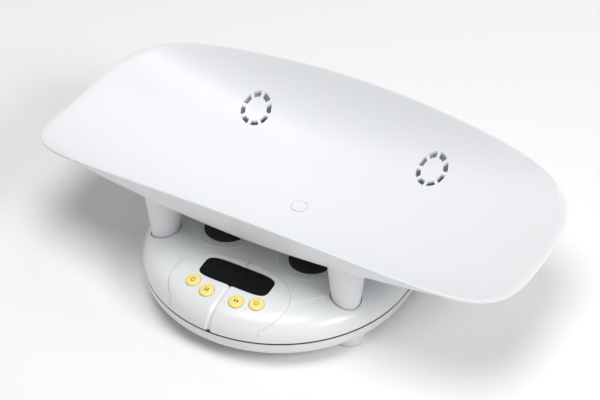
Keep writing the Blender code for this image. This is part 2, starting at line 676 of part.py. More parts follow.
def make_cover():
    outer = cover_path()
    bm = bmesh.new()
    add_oval(bm, outer + inset(outer, COVER_WALL)[::-1], BASE_STRAIGHT, ARC_STEPS)
    cover = finish_object("top_cover", bm, white_plastic)

    bm = bmesh.new()
    bound = inset(outer, EMBED)
    add_oval(bm, bound + [(bound[-1][0], BOTTOM_HEIGHT), (0, BOTTOM_HEIGHT)], BASE_STRAIGHT, ARC_STEPS)
    inside = finish_object("cover_inside", bm)

    bm = bmesh.new()
    cup_low = SOCKET_FLOOR - SOCKET_WALL
    cup_radius = post_radius(CREASE_HEIGHT) + SOCKET_CLEARANCE + SOCKET_WALL
    low_radius = post_radius(SOCKET_FLOOR) + SOCKET_CLEARANCE + SOCKET_WALL
    for place in corners(POST_X, POST_Y).values():
        add_cylinder(
            bm, low_radius, cup_low, CREASE_HEIGHT, place,
            segments=POST_SEGMENTS, top_radius=cup_radius,
        )
    for place in SCREW_PLACES:
        add_cylinder(bm, COVER_BOSS_RADIUS, BOSS_HEIGHT + GAP, PLATFORM_HEIGHT, place)
    underside = PLATFORM_HEIGHT - COVER_WALL
    peg_x, peg_y = MAIN_BOARD_WIDTH / 2 - BOARD_POST_INSET, MAIN_BOARD_DEPTH / 2 - BOARD_POST_INSET
    for x, y in corners(peg_x, peg_y).values():
        peg_low = underside - MAIN_BOARD_DROP + GAP
        add_cylinder(bm, BOARD_POST_RADIUS, peg_low, PLATFORM_HEIGHT, (x, y + MAIN_BOARD_Y))
    rib_low = underside - RIB_HEIGHT
    reach = POST_X - cup_radius - 2 * RIB_WIDTH
    for y in (0, POST_Y / 2, POST_Y):
        add_box(bm, (-reach, y - RIB_WIDTH / 2, rib_low), (reach, y + RIB_WIDTH / 2, PLATFORM_HEIGHT))
    inner_parts = finish_object("cover_inner_parts", bm)
    combine(inner_parts, inside, "INTERSECT")
    combine(cover, inner_parts, "UNION")

    bm = bmesh.new()
    for place in corners(POST_X, POST_Y).values():
        low, high = SOCKET_FLOOR, PLATFORM_HEIGHT + OVERRUN
        add_cylinder(
            bm, post_radius(low) + SOCKET_CLEARANCE, low, high, place,
            segments=POST_SEGMENTS, top_radius=post_radius(high) + SOCKET_CLEARANCE,
        )
    for place in SCREW_PLACES:
        add_cylinder(bm, SCREW_RADIUS + GAP, BOSS_HEIGHT - EMBED, SCREW_TOP + GAP, place)
    combine(cover, finish_object("cover_bores", bm), "DIFFERENCE")

    bm = bmesh.new()
    bead_top, bead_low = PLATFORM_HEIGHT + DISH_BEAD_HEIGHT, PLATFORM_HEIGHT - EMBED
    mat_edge = MAT_RADIUS + GAP
    bead_inner = (DISH_RADIUS + mat_edge) / 2
    bead_edge = DISH_RADIUS + DISH_BEAD_WIDTH * DISH_BEAD_TOP_share
    bead_run = DISH_BEAD_WIDTH * (1 - DISH_BEAD_TOP_share) / DISH_BEAD_HEIGHT
    bead_outer = bead_edge + bead_run * (bead_top - bead_low)
    bead = [(bead_inner, bead_low), (bead_inner, bead_top), (bead_edge, bead_top), (bead_outer, bead_low)]
    bead.append(bead[0])
    for side in (-1, 1):
        add_oval(bm, bead, MAT_ARC_Y, MAT_ARC_STEPS, (side * MAT_X, 0))
    combine(cover, finish_object("dish_beads", bm), "UNION")
    bm = bmesh.new()
    floor = PLATFORM_HEIGHT - DISH_DEPTH - MAT_SET_DEPTH
    slope = (DISH_RADIUS - mat_edge) / (DISH_DEPTH + DISH_BEAD_HEIGHT)
    recess = [
        (0, bead_top + EMBED), (DISH_RADIUS + slope * EMBED, bead_top + EMBED),
        (mat_edge, PLATFORM_HEIGHT - DISH_DEPTH), (mat_edge, floor), (0, floor),
    ]
    for side in (-1, 1):
        add_oval(bm, recess, MAT_ARC_Y, MAT_ARC_STEPS, (side * MAT_X, 0))
    combine(cover, finish_object("mat_recesses", bm), "DIFFERENCE")

    bm = bmesh.new()
    add_prism(bm, panel_opening(), SEAM_HEIGHT - OVERRUN, PLATFORM_HEIGHT + OVERRUN)
    combine(cover, finish_object("panel_opening", bm), "DIFFERENCE")


def make_mats():
    low = PLATFORM_HEIGHT - DISH_DEPTH - MAT_SET_DEPTH + GAP
    for name, side in (("left_mat", -1), ("right_mat", 1)):
        bm = bmesh.new()
        path = [(0, low + MAT_THICKNESS), (MAT_RADIUS, low + MAT_THICKNESS), (MAT_RADIUS, low), (0, low)]
        add_oval(bm, path, MAT_ARC_Y, MAT_ARC_STEPS, (side * MAT_X, 0))
        finish_object(name, bm, black_rubber)


def add_groove(bm):
    """The channel down the panel's middle: it follows the panel's face and widens to the front."""
    edge_height = PLATFORM_HEIGHT + PANEL_STEP * PANEL_EDGE_share
    crown = PLATFORM_HEIGHT + PANEL_STEP
    path = [
        (PANEL_REAR_RADIUS - OVERRUN, edge_height), (PANEL_REAR_RADIUS, edge_height),
        (PANEL_REAR_RADIUS + PANEL_ROLL / 2, crown), (PANEL_SLOPE_RADIUS, crown),
    ] + panel_path()[2:]
    path.append((BASE_RADIUS, SEAM_HEIGHT - OVERRUN))
    sections = []
    edges = zip(inset(path, GROOVE_DEPTH), inset(path, -GROOVE_DEPTH))
    for (low_radius, low), (high_radius, high) in edges:
        share = (low_radius - PANEL_SLOPE_RADIUS) / (BASE_RADIUS - PANEL_SLOPE_RADIUS)
        widening = (GROOVE_FRONT_WIDTH - GROOVE_REAR_WIDTH) * min(max(share, 0), 1)
        half = (GROOVE_REAR_WIDTH + widening) / 2
        narrow, wide = half * GROOVE_FLOOR_share, half * (2 - GROOVE_FLOOR_share)
        sections.append([
            (-narrow, -BASE_STRAIGHT - low_radius, low), (narrow, -BASE_STRAIGHT - low_radius, low),
            (wide, -BASE_STRAIGHT - high_radius, high), (-wide, -BASE_STRAIGHT - high_radius, high),
        ])
    add_loft(bm, sections)


def make_panel():
    bm = bmesh.new()
    add_panel_sheet(bm)
    lowered = bmesh.ops.extrude_face_region(bm, geom=bm.faces[:])["geom"]
    for vert in (item for item in lowered if isinstance(item, bmesh.types.BMVert)):
        vert.co.z = SEAM_TOP
    panel = finish_object("control_panel", bm, white_plastic)

    bm = bmesh.new()
    room = inset(panel_path(), PANEL_WALL)
    seat_drop = PANEL_STEP / 2
    room = [(radius, height - seat_drop) for radius, height in room[:2]] + room[2:]
    room += [(room[-1][0], SEAM_TOP - OVERRUN), (0, SEAM_TOP - OVERRUN)]
    add_oval(bm, room, BASE_STRAIGHT, ARC_STEPS)
    combine(panel, finish_object("panel_room", bm), "DIFFERENCE")

    bm = bmesh.new()
    board, post_x = board_frame(), BUTTON_BOARD_WIDTH / 2 - BOARD_POST_INSET
    for x in (-post_x, 0, post_x):
        add_cylinder(bm, BOARD_POST_RADIUS, GAP, board_post_length(x), (x, 0), frame=board)
    combine(panel, finish_object("panel_board_posts", bm), "UNION")

    bm = bmesh.new()
    frame = window_frame()
    opening = superellipse(WINDOW_HALF_WIDTH + GAP, WINDOW_HALF_DEPTH + GAP, WINDOW_POWER, WINDOW_STEPS, 0)
    add_prism(bm, opening, -WINDOW_THICKNESS - GAP, OVERRUN, frame)
    combine(panel, finish_object("window_opening", bm), "DIFFERENCE")
    bm = bmesh.new()
    view = superellipse(
        WINDOW_HALF_WIDTH - WINDOW_LEDGE, WINDOW_HALF_DEPTH - WINDOW_LEDGE, WINDOW_POWER, WINDOW_STEPS, 0
    )
    add_prism(bm, view, -OVERRUN, OVERRUN, frame)
    combine(panel, finish_object("window_view", bm), "DIFFERENCE")
    bm = bmesh.new()
    x, y = DISPLAY_WIDTH / 2 + GAP, DISPLAY_DEPTH / 2 + GAP
    top = -WINDOW_THICKNESS - GAP - LEDGE_THICKNESS
    add_box(bm, (-x, -y, top - OVERRUN), (x, y, top), frame)
    combine(panel, finish_object("display_seat", bm), "DIFFERENCE")

    bm = bmesh.new()
    for name in BUTTON_PLACES:
        place = button_frame(name)
        hole = BUTTON_RADIUS + BUTTON_CLEARANCE
        add_cylinder(bm, hole, -OVERRUN, OVERRUN, frame=place, segments=BUTTON_SEGMENTS)
    combine(panel, finish_object("button_holes", bm), "DIFFERENCE")
    bm = bmesh.new()
    for name in BUTTON_PLACES:
        seat = FLANGE_RADIUS + BUTTON_CLEARANCE
        add_cylinder(bm, seat, -OVERRUN, -PANEL_WALL, frame=button_frame(name), segments=BUTTON_SEGMENTS)
    combine(panel, finish_object("button_seats", bm), "DIFFERENCE")

    bm = bmesh.new()
    add_groove(bm)
    combine(panel, finish_object("panel_groove", bm), "DIFFERENCE")


def make_display():
    frame = window_frame()
    bm = bmesh.new()
    outline = superellipse(WINDOW_HALF_WIDTH, WINDOW_HALF_DEPTH, WINDOW_POWER, WINDOW_STEPS, 0)
    add_prism(bm, outline, -WINDOW_THICKNESS, 0)
    window = finish_object("display_window", bm, dark_window)
    window.matrix_world = frame
    bm = bmesh.new()
    top = -WINDOW_THICKNESS - GAP - LEDGE_THICKNESS - GAP
    x, y = DISPLAY_WIDTH / 2, DISPLAY_DEPTH / 2
    add_box(bm, (-x, -y, top - DISPLAY_THICKNESS), (x, y, top))
    module = finish_object("display_module", bm, display_glass)
    module.matrix_world = frame


def make_buttons():
    low = FLANGE_TOP - FLANGE_THICKNESS
    dome = [(BUTTON_RADIUS * out, BUTTON_RISE * up) for out, up in BUTTON_DOME_shares]
    path = [(0, BUTTON_RISE)] + dome + [
        (BUTTON_RADIUS, FLANGE_TOP), (FLANGE_RADIUS, FLANGE_TOP), (FLANGE_RADIUS, low), (STEM_RADIUS, low),
        (STEM_RADIUS, low - STEM_LENGTH), (0, low - STEM_LENGTH),
    ]
    board = board_frame()
    for name in BUTTON_PLACES:
        frame = button_frame(name)
        button = turned_object(name, path, yellow_plastic, (0, 0, 0), BUTTON_SEGMENTS)
        button.matrix_world = frame
        bm = bmesh.new()
        place = board.inverted() @ frame @ Vector((0, 0, low - STEM_LENGTH))
        side = SWITCH_SIDE / 2
        add_box(bm, (-side, -side, GAP), (side, side, GAP + SWITCH_HEIGHT))
        switch = finish_object(name.replace("button", "switch"), bm, black_plastic)
        switch.matrix_world = board @ Matrix.Translation((place.x, place.y, 0))
        bm = bmesh.new()
        high = place.z - BUTTON_TRAVEL - GAP
        add_cylinder(bm, PLUNGER_RADIUS, SWITCH_HEIGHT - EMBED, high, segments=BOSS_SEGMENTS)
        plunger = finish_object(name.replace("button", "plunger"), bm)
        plunger.matrix_world = switch.matrix_world
        combine(switch, plunger, "UNION")
    bm = bmesh.new()
    x, y = BUTTON_BOARD_WIDTH / 2, BUTTON_BOARD_DEPTH / 2
    add_box(bm, (-x, -y, -BOARD_THICKNESS), (x, y, 0))
    finish_object("button_board", bm, green_board).matrix_world = board


def make_main_board():
    top = PLATFORM_HEIGHT - COVER_WALL - MAIN_BOARD_DROP
    x, y = MAIN_BOARD_WIDTH / 2, MAIN_BOARD_DEPTH / 2
    bm = bmesh.new()
    add_box(bm, (-x, MAIN_BOARD_Y - y, top - BOARD_THICKNESS), (x, MAIN_BOARD_Y + y, top))
    board = finish_object("main_board", bm, green_board)
    bm = bmesh.new()
    half, low = CHIP_SIDE / 2, top - BOARD_THICKNESS - CHIP_HEIGHT
    add_box(bm, (-half, MAIN_BOARD_Y - half, low), (half, MAIN_BOARD_Y + half, top - BOARD_THICKNESS / 2))
    combine(board, finish_object("board_chip", bm), "UNION")


def well_box(grow, low, high):
    """The battery compartment's room in plan, grown on every side, between two heights."""
    x = (BATTERY_SIZE[0] + SNAP_LENGTH + WELL_ROOM) / 2 + grow
    y = (BATTERY_SIZE[1] + WELL_ROOM) / 2 + grow
    return (-x, BATTERY_Y - y, low), (x, BATTERY_Y + y, high)


def cell_frame(place):
    """At a foot, turned so that the load cell's free end points out of the base."""
    x, y = place
    outward = math.atan2(y - math.copysign(BASE_STRAIGHT, y), x)
    return Matrix.Translation((x, y, 0)) @ Matrix.Rotation(outward, 4, "Z")


def make_lower_housing():
    rim = SEAM_HEIGHT
    belly = BOTTOM_HEIGHT + (rim - BOTTOM_HEIGHT) * SIDE_BELLY_share
    edge = BOTTOM_EDGE_RISE * BOTTOM_EDGE_share
    outer = [
        (BASE_RADIUS, rim), (SIDE_BELLY_RADIUS, belly),
        (BOTTOM_EDGE_RADIUS, BOTTOM_HEIGHT + BOTTOM_EDGE_RISE),
        ((BOTTOM_RADIUS + BOTTOM_EDGE_RADIUS) / 2, BOTTOM_HEIGHT + edge),
        (BOTTOM_RADIUS, BOTTOM_HEIGHT), (0, BOTTOM_HEIGHT),
    ]
    lip_outer = BASE_RADIUS - COVER_WALL - LIP_CLEARANCE
    lip_inner = lip_outer - LIP_WALL
    floor = BOTTOM_HEIGHT + BOTTOM_WALL
    inner = [
        (0, floor), (BOTTOM_RADIUS - BOTTOM_WALL, floor),
        (BOTTOM_EDGE_RADIUS - BOTTOM_WALL, floor + BOTTOM_EDGE_RISE), (lip_inner, belly),
        (lip_inner, rim + LIP_HEIGHT), (lip_outer, rim + LIP_HEIGHT), (lip_outer, rim),
    ]
    bm = bmesh.new()
    add_oval(bm, inner + outer, BASE_STRAIGHT, ARC_STEPS)
    housing = finish_object("lower_housing", bm, white_plastic)

    bm = bmesh.new()
    middle = BOTTOM_HEIGHT + BOTTOM_WALL / 2
    for place in SCREW_PLACES:
        add_cylinder(bm, BOSS_RADIUS, middle, BOSS_HEIGHT, place)
    for place in corners(FOOT_X, FOOT_Y).values():
        side = CELL_SIDE / 2
        for turn in (-1, 1):
            low_y, high_y = sorted((turn * side, turn * (side - CELL_RAIL_WIDTH)))
            high = (side - CELL_RAIL_SETBACK, high_y, CELL_HEIGHT - GAP)
            add_box(bm, (-side, low_y, middle), high, cell_frame(place))
    combine(housing, finish_object("housing_bosses", bm), "UNION")
    bm = bmesh.new()
    add_box(bm, *well_box(DOOR_LEDGE + DOOR_FRAME, middle, BOTTOM_HEIGHT + DOOR_FRAME_HEIGHT))
    combine(housing, finish_object("door_frame", bm), "UNION")
    bm = bmesh.new()
    add_box(bm, *well_box(WELL_WALL, BOTTOM_HEIGHT + DOOR_FRAME_HEIGHT / 2, WELL_ROOF + WELL_WALL))
    combine(housing, finish_object("well_walls", bm), "UNION")

    bm = bmesh.new()
    for place in SCREW_PLACES:
        add_cylinder(bm, SCREW_HOLE_RADIUS, BOTTOM_HEIGHT - OVERRUN, BOSS_HEIGHT + OVERRUN, place)
    for place in corners(FOOT_X, FOOT_Y).values():
        add_cylinder(bm, STEM_HOLE_RADIUS, BOTTOM_HEIGHT - OVERRUN, floor + EMBED, place)
    combine(housing, finish_object("housing_holes", bm), "DIFFERENCE")
    bm = bmesh.new()
    for place in SCREW_PLACES:
        head = SCREW_HEAD_RADIUS + LIP_CLEARANCE
        add_cylinder(bm, head, BOTTOM_HEIGHT - OVERRUN, SCREW_SEAT, place)
    combine(housing, finish_object("screw_counterbores", bm), "DIFFERENCE")
    bm = bmesh.new()
    add_box(bm, *well_box(0, BOTTOM_HEIGHT - OVERRUN, WELL_ROOF))
    combine(housing, finish_object("well_room", bm), "DIFFERENCE")
    bm = bmesh.new()
    add_box(bm, *well_box(DOOR_LEDGE, BOTTOM_HEIGHT - OVERRUN, DOOR_TOP + GAP))
    combine(housing, finish_object("door_recess", bm), "DIFFERENCE")
    bm = bmesh.new()
    high = well_box(DOOR_LEDGE, 0, BOTTOM_HEIGHT + DOOR_THICKNESS / 2)[1]
    add_cylinder(bm, DOOR_GRIP_RADIUS, BOTTOM_HEIGHT - OVERRUN, high[2], (0, high[1]))
    combine(housing, finish_object("door_grip", bm), "DIFFERENCE")
    bm = bmesh.new()
    reach = high[0] + DOOR_PIN_LENGTH + GAP
    radius = DOOR_PIN_RADIUS + GAP
    add_cylinder(bm, radius, -reach, reach, frame=hinge_frame())
    combine(housing, finish_object("pin_holes", bm), "DIFFERENCE")


def hinge_frame():
    """Z along the door's hinge, with its origin in the middle of the door's front edge."""
    low, high = well_box(DOOR_LEDGE - DOOR_CLEARANCE, 0, 0)
    place = Matrix.Translation((0, low[1] + DOOR_BEAD_RADIUS, DOOR_HEIGHT + DOOR_BEAD_RADIUS))
    return place @ Matrix.Rotation(math.pi / 2, 4, "Y")


def make_door():
    low, high = well_box(DOOR_LEDGE - DOOR_CLEARANCE, DOOR_HEIGHT, DOOR_TOP)
    hinge = hinge_frame()
    axis = hinge.translation
    bm = bmesh.new()
    add_box(bm, (low[0], 0, low[2] - axis.z), (high[0], high[1] - axis.y, high[2] - axis.z))
    door = finish_object("battery_door", bm, white_plastic)
    door.location = axis
    steps = (
        ("door_bead", DOOR_BEAD_RADIUS * DOOR_BEAD_share, high[0] * DOOR_BEAD_share),
        ("door_pins", DOOR_PIN_RADIUS, high[0] + DOOR_CLEARANCE + DOOR_PIN_LENGTH),
    )
    for name, radius, reach in steps:
        bm = bmesh.new()
        add_cylinder(bm, radius, -reach, reach, frame=hinge, segments=BOSS_SEGMENTS)
        combine(door, finish_object(name, bm), "UNION")
    bm = bmesh.new()
    half, room = DOOR_CATCH_WIDTH / 2, well_box(0, 0, 0)[1][1] - DOOR_CLEARANCE - GAP
    top = high[2] + DOOR_CATCH_HEIGHT
    add_box(bm, (-half, room - DOOR_CATCH_THICKNESS, high[2] - EMBED), (half, room, top))
    combine(door, finish_object("door_catch", bm), "UNION")


def make_battery():
    base = DOOR_TOP + GAP
    x, y, z = BATTERY_SIZE
    left = -(x + SNAP_LENGTH) / 2
    bm = bmesh.new()
    add_box(bm, (left, BATTERY_Y - y / 2, base), (left + x, BATTERY_Y + y / 2, base + z))
    battery = finish_object("battery", bm, battery_case)
    round_edges = battery.modifiers.new("Edges", "BEVEL")
    round_edges.width = BATTERY_EDGE
    round_edges.segments = 2
    bm = bmesh.new()
    edge = BATTERY_EDGE / 2
    add_box(
        bm, (left + x + GAP, BATTERY_Y - y / 2 + edge, base + edge),
        (left + x + SNAP_LENGTH, BATTERY_Y + y / 2 - edge, base + z - edge),
    )
    snap = finish_object("battery_snap", bm, black_plastic)
    round_edges = snap.modifiers.new("Edges", "BEVEL")
    round_edges.width = edge
    round_edges.segments = 2


def make_screws():
    seat = SCREW_SEAT - GAP
    under = seat - SCREW_HEAD_HEIGHT
    path = [
        (0, SCREW_TOP), (SCREW_RADIUS, SCREW_TOP - SCREW_RADIUS), (SCREW_RADIUS, seat),
        (SCREW_HEAD_RADIUS, seat), (SCREW_HEAD_RADIUS, under), (0, under),
    ]
    for i, (x, y) in enumerate(SCREW_PLACES, 1):
        turned_object(f"housing_screw_{i}", path, steel, (x, y, 0), SCREW_SEGMENTS)


def make_feet():
    top, low = BOTTOM_HEIGHT - GAP, FOOT_BASE_HEIGHT
    seat, stem_top = low + PAD_DEPTH, CELL_HEIGHT - GAP
    round_off, pad_edge = FOOT_EDGE * FOOT_EDGE_share, FOOT_EDGE / 4
    path = [
        (0, stem_top), (FOOT_STEM_RADIUS, stem_top), (FOOT_STEM_RADIUS, top), (FOOT_RADIUS, top),
        (FOOT_RADIUS, low + FOOT_EDGE), (FOOT_RADIUS - round_off, low + round_off),
        (FOOT_RADIUS - FOOT_EDGE, low), (PAD_RADIUS + GAP, low), (PAD_RADIUS + GAP, seat), (0, seat),
    ]
    pad = [
        (0, seat - GAP), (PAD_RADIUS, seat - GAP), (PAD_RADIUS, pad_edge),
        (PAD_RADIUS - pad_edge, 0), (0, 0),
    ]
    for side, place in corners(FOOT_X, FOOT_Y).items():
        turned_object("foot_" + side, path, white_plastic, (*place, 0), FOOT_SEGMENTS)
        turned_object("foot_pad_" + side, pad, grey_rubber, (*place, 0), FOOT_SEGMENTS)


def make_load_cells():
    side, low, high = CELL_SIDE / 2, CELL_HEIGHT, CELL_HEIGHT + CELL_THICKNESS
    tongue, inner = CELL_TONGUE_WIDTH / 2, side - CELL_FRAME
    for name, place in corners(FOOT_X, FOOT_Y).items():
        bm = bmesh.new()
        add_box(bm, (-side, -side, low), (side, side, high))
        cell = finish_object("load_cell_" + name, bm, steel)
        cell.matrix_world = cell_frame(place)
        bm = bmesh.new()
        outline = [
            (-inner, -inner), (inner, -inner), (inner, inner), (-inner, inner), (-inner, tongue),
            (inner - CELL_SLOT, tongue), (inner - CELL_SLOT, -tongue), (-inner, -tongue),
        ]
        add_prism(bm, outline, low - EMBED, high + EMBED)
        slot = finish_object("cell_slot_" + name, bm)
        slot.matrix_world = cell.matrix_world
        combine(cell, slot, "DIFFERENCE")


for item in list(bpy.data.objects):
    bpy.data.objects.remove(item, do_unlink=True)

parts = make_collection("digital_baby_scale")
cutters = make_collection("cutters")
white_plastic = make_material("white_plastic", (0.86, 0.87, 0.88), 0.35)
yellow_plastic = make_material("yellow_plastic", (0.95, 0.75, 0.22), 0.4)
black_plastic = make_material("black_plastic", (0.03, 0.03, 0.03), 0.5)
black_rubber = make_material("black_rubber", (0.015, 0.015, 0.015), 0.8)
grey_rubber = make_material("grey_rubber", (0.25, 0.25, 0.26), 0.8)
dark_window = make_material("dark_window", (0.012, 0.016, 0.013), 0.12)
display_glass = make_material("display_glass", (0.20, 0.24, 0.20), 0.2)
green_board = make_material("green_board", (0.03, 0.20, 0.08), 0.5)
steel = make_material("steel", (0.6, 0.6, 0.6), 0.35, 1.0)
battery_case = make_material("battery_case", (0.08, 0.10, 0.14), 0.4)

make_tray()
make_cover()
make_mats()
make_panel()
make_display()
make_buttons()
make_main_board()
make_lower_housing()
make_door()
make_battery()
make_screws()
make_feet()
make_load_cells()
bpy.context.view_layer.update()
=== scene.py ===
import math

import bmesh
import bpy
from mathutils import Matrix, Vector


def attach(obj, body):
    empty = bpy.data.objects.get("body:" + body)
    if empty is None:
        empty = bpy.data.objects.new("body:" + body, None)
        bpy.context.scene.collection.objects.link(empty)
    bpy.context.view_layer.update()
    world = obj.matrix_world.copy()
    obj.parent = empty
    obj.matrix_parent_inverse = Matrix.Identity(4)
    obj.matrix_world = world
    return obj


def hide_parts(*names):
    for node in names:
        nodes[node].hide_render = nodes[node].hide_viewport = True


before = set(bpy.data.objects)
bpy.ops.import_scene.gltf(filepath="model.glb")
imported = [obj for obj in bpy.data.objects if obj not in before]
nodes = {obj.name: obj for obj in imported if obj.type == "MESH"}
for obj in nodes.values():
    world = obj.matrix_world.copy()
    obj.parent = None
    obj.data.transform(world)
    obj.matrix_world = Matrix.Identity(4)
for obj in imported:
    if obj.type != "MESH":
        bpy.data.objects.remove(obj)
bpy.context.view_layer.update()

mm = 0.001
air = 0.3 * mm
weldDistance = 0.004 * mm
embed = 1 * mm
overrun = 10 * mm
fullTurn = 2 * math.pi


# A bmesh becomes an object, and a cut or union is settled into its mesh at once
def pieceFrom(bm, name, sharp=30):
    bmesh.ops.recalc_face_normals(bm, faces=bm.faces)
    mesh = bpy.data.meshes.new(name)
    bm.to_mesh(mesh)
    bm.free()
    piece = bpy.data.objects.new(name, mesh)
    bpy.context.scene.collection.objects.link(piece)
    smoothOver(mesh, sharp)
    return piece


def smoothOver(mesh, sharp):
    mesh.shade_smooth()
    mesh.set_sharp_from_angle(angle=math.radians(sharp))


def settle(piece, sharp=30):
    bpy.context.view_layer.update()
    solved = piece.evaluated_get(bpy.context.evaluated_depsgraph_get())
    mesh = bpy.data.meshes.new_from_object(solved)
    piece.modifiers.clear()
    piece.data = mesh
    smoothOver(mesh, sharp)


def carve(piece, tool, operation="DIFFERENCE", sharp=30):
    step = piece.modifiers.new("cut", "BOOLEAN")
    step.operation = operation
    step.solver = "EXACT"
    step.object = tool
    settle(piece, sharp)
    bpy.data.objects.remove(tool)


def addCylinder(bm, radius, low, high, place=(0, 0), matrix=None, segments=48, topRadius=None):
    middle = Matrix.Translation((place[0], place[1], (low + high) / 2))
    bmesh.ops.create_cone(
        bm, cap_ends=True, segments=segments, radius1=radius,
        radius2=radius if topRadius is None else topRadius, depth=high - low,
        matrix=(matrix or Matrix()) @ middle,
    )


def addBox(bm, low, high, matrix=None):
    size = Vector(high) - Vector(low)
    middle = Matrix.Translation((Vector(low) + Vector(high)) / 2)
    bmesh.ops.create_cube(bm, size=1, matrix=(matrix or Matrix()) @ middle @ Matrix.Diagonal((*size, 1)))


def addPrism(bm, outline, low, high, matrix=None):
    matrix = matrix or Matrix()
    face = bm.faces.new([bm.verts.new(matrix @ Vector((x, y, low))) for x, y in outline])
    raised = bmesh.ops.extrude_face_region(bm, geom=[face])["geom"]
    top = [item for item in raised if isinstance(item, bmesh.types.BMVert)]
    bmesh.ops.translate(bm, verts=top, vec=matrix.to_3x3() @ Vector((0, 0, high - low)))


def addTurned(bm, path, segments, matrix=None):
    points = [bm.verts.new((radius, 0, height)) for radius, height in path]
    edges = [bm.edges.new(pair) for pair in zip(points, points[1:])]
    bmesh.ops.spin(
        bm, geom=points + edges, cent=(0, 0, 0), axis=(0, 0, 1), angle=fullTurn,
        steps=segments, use_merge=True, use_duplicate=False,
    )
    bmesh.ops.remove_doubles(bm, verts=bm.verts, dist=weldDistance)
    if matrix:
        bm.transform(matrix)


# A closed run of sections with as many points each
def addLoft(bm, sections):
    rings = [[bm.verts.new(point) for point in section] for section in sections]
    for start, end in zip(rings, rings[1:]):
        for i in range(len(start)):
            bm.faces.new((start[i - 1], start[i], end[i], end[i - 1]))
    bm.faces.new(rings[0])
    bm.faces.new(rings[-1])


# The base is a stadium: a profile swept round one arc, along a straight, round the other arc and back
def addOval(bm, path, straight, steps, centre=(0, 0)):
    x, y = centre
    start = [bm.verts.new((x + radius, y - straight, height)) for radius, height in path]
    line = [bm.edges.new(pair) for pair in zip(start, start[1:])]
    for side in (-1, 1):
        turned = bmesh.ops.spin(
            bm, geom=start + line, cent=(x, y + side * straight, 0), axis=(0, 0, 1),
            angle=-math.pi, steps=steps, use_duplicate=False,
        )
        line = [item for item in turned["geom_last"] if isinstance(item, bmesh.types.BMEdge)]
        run = bmesh.ops.extrude_edge_only(bm, edges=line)["geom"]
        start = [item for item in run if isinstance(item, bmesh.types.BMVert)]
        line = [item for item in run if isinstance(item, bmesh.types.BMEdge)
                and all(vert in start for vert in item.verts)]
        bmesh.ops.translate(bm, verts=start, vec=(0, -2 * side * straight, 0))
    bmesh.ops.remove_doubles(bm, verts=bm.verts, dist=weldDistance)


# Corners of a profile, by number, become short curves that start the given distance before them
def rounded(path, reaches, steps=4):
    result = []
    for number, point in enumerate(path):
        corner = Vector(point)
        if number not in reaches:
            result.append(tuple(corner))
            continue
        start = corner + (Vector(path[number - 1]) - corner).normalized() * reaches[number]
        end = corner + (Vector(path[number + 1]) - corner).normalized() * reaches[number]
        for step in range(steps + 1):
            t = step / steps
            result.append(tuple(start * (1 - t) ** 2 + corner * 2 * t * (1 - t) + end * t * t))
    return result


# A smooth line through the given points
def smoothLine(points, steps):
    points = [Vector(point) for point in points]
    result = [tuple(points[0])]
    for i in range(len(points) - 1):
        before, start = points[max(i - 1, 0)], points[i]
        end, after = points[i + 1], points[min(i + 2, len(points) - 1)]
        for step in range(1, steps + 1):
            t = step / steps
            result.append(tuple(
                start * (2 * t**3 - 3 * t**2 + 1) + (end - before) / 2 * (t**3 - 2 * t**2 + t)
                + end * (3 * t**2 - 2 * t**3) + (after - start) / 2 * (t**3 - t**2)
            ))
    return result


def inset(path, depth):
    moved = []
    for i, (radius, height) in enumerate(path):
        normals = []
        for a, b in ((i - 1, i), (i, i + 1)):
            if a >= 0 and b < len(path):
                run = Vector((path[b][0] - path[a][0], path[b][1] - path[a][1])).normalized()
                normals.append(Vector((run.y, -run.x)))
        mean = sum(normals, Vector((0, 0))).normalized()
        reach = depth / mean.dot(normals[0])
        moved.append([radius + mean.x * reach, height + mean.y * reach])
    moved[0][0] = path[0][0]
    moved[-1] = [path[-1][0] - depth, path[-1][1]]
    return [tuple(point) for point in moved]


def superellipse(halfWidth, halfDepth, power, steps, centreY=0):
    points = []
    for i in range(steps):
        angle = fullTurn * i / steps
        c, s = math.cos(angle), math.sin(angle)
        points.append((
            halfWidth * math.copysign(abs(c) ** (2 / power), c),
            centreY + halfDepth * math.copysign(abs(s) ** (2 / power), s),
        ))
    return points


def fourPlaces(x, y):
    return {"front_left": (-x, -y), "front_right": (x, -y), "rear_left": (-x, y), "rear_right": (x, y)}


# A material is put on, and the piece rides and stands for CAD nodes
def dress(piece, material, body, slot, *cadNodes):
    piece.data.materials.clear()
    piece.data.materials.append(material)
    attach(piece, body)
    if cadNodes:
        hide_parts(*cadNodes)


# Finishes
def newGroup(name, inputs, outputs):
    group = bpy.data.node_groups.new(name, "ShaderNodeTree")
    for label, kind, value in inputs:
        group.interface.new_socket(name=label, in_out="INPUT", socket_type=kind).default_value = value
    for label, kind in outputs:
        group.interface.new_socket(name=label, in_out="OUTPUT", socket_type=kind)
    return group, group.nodes.new("NodeGroupInput"), group.nodes.new("NodeGroupOutput")


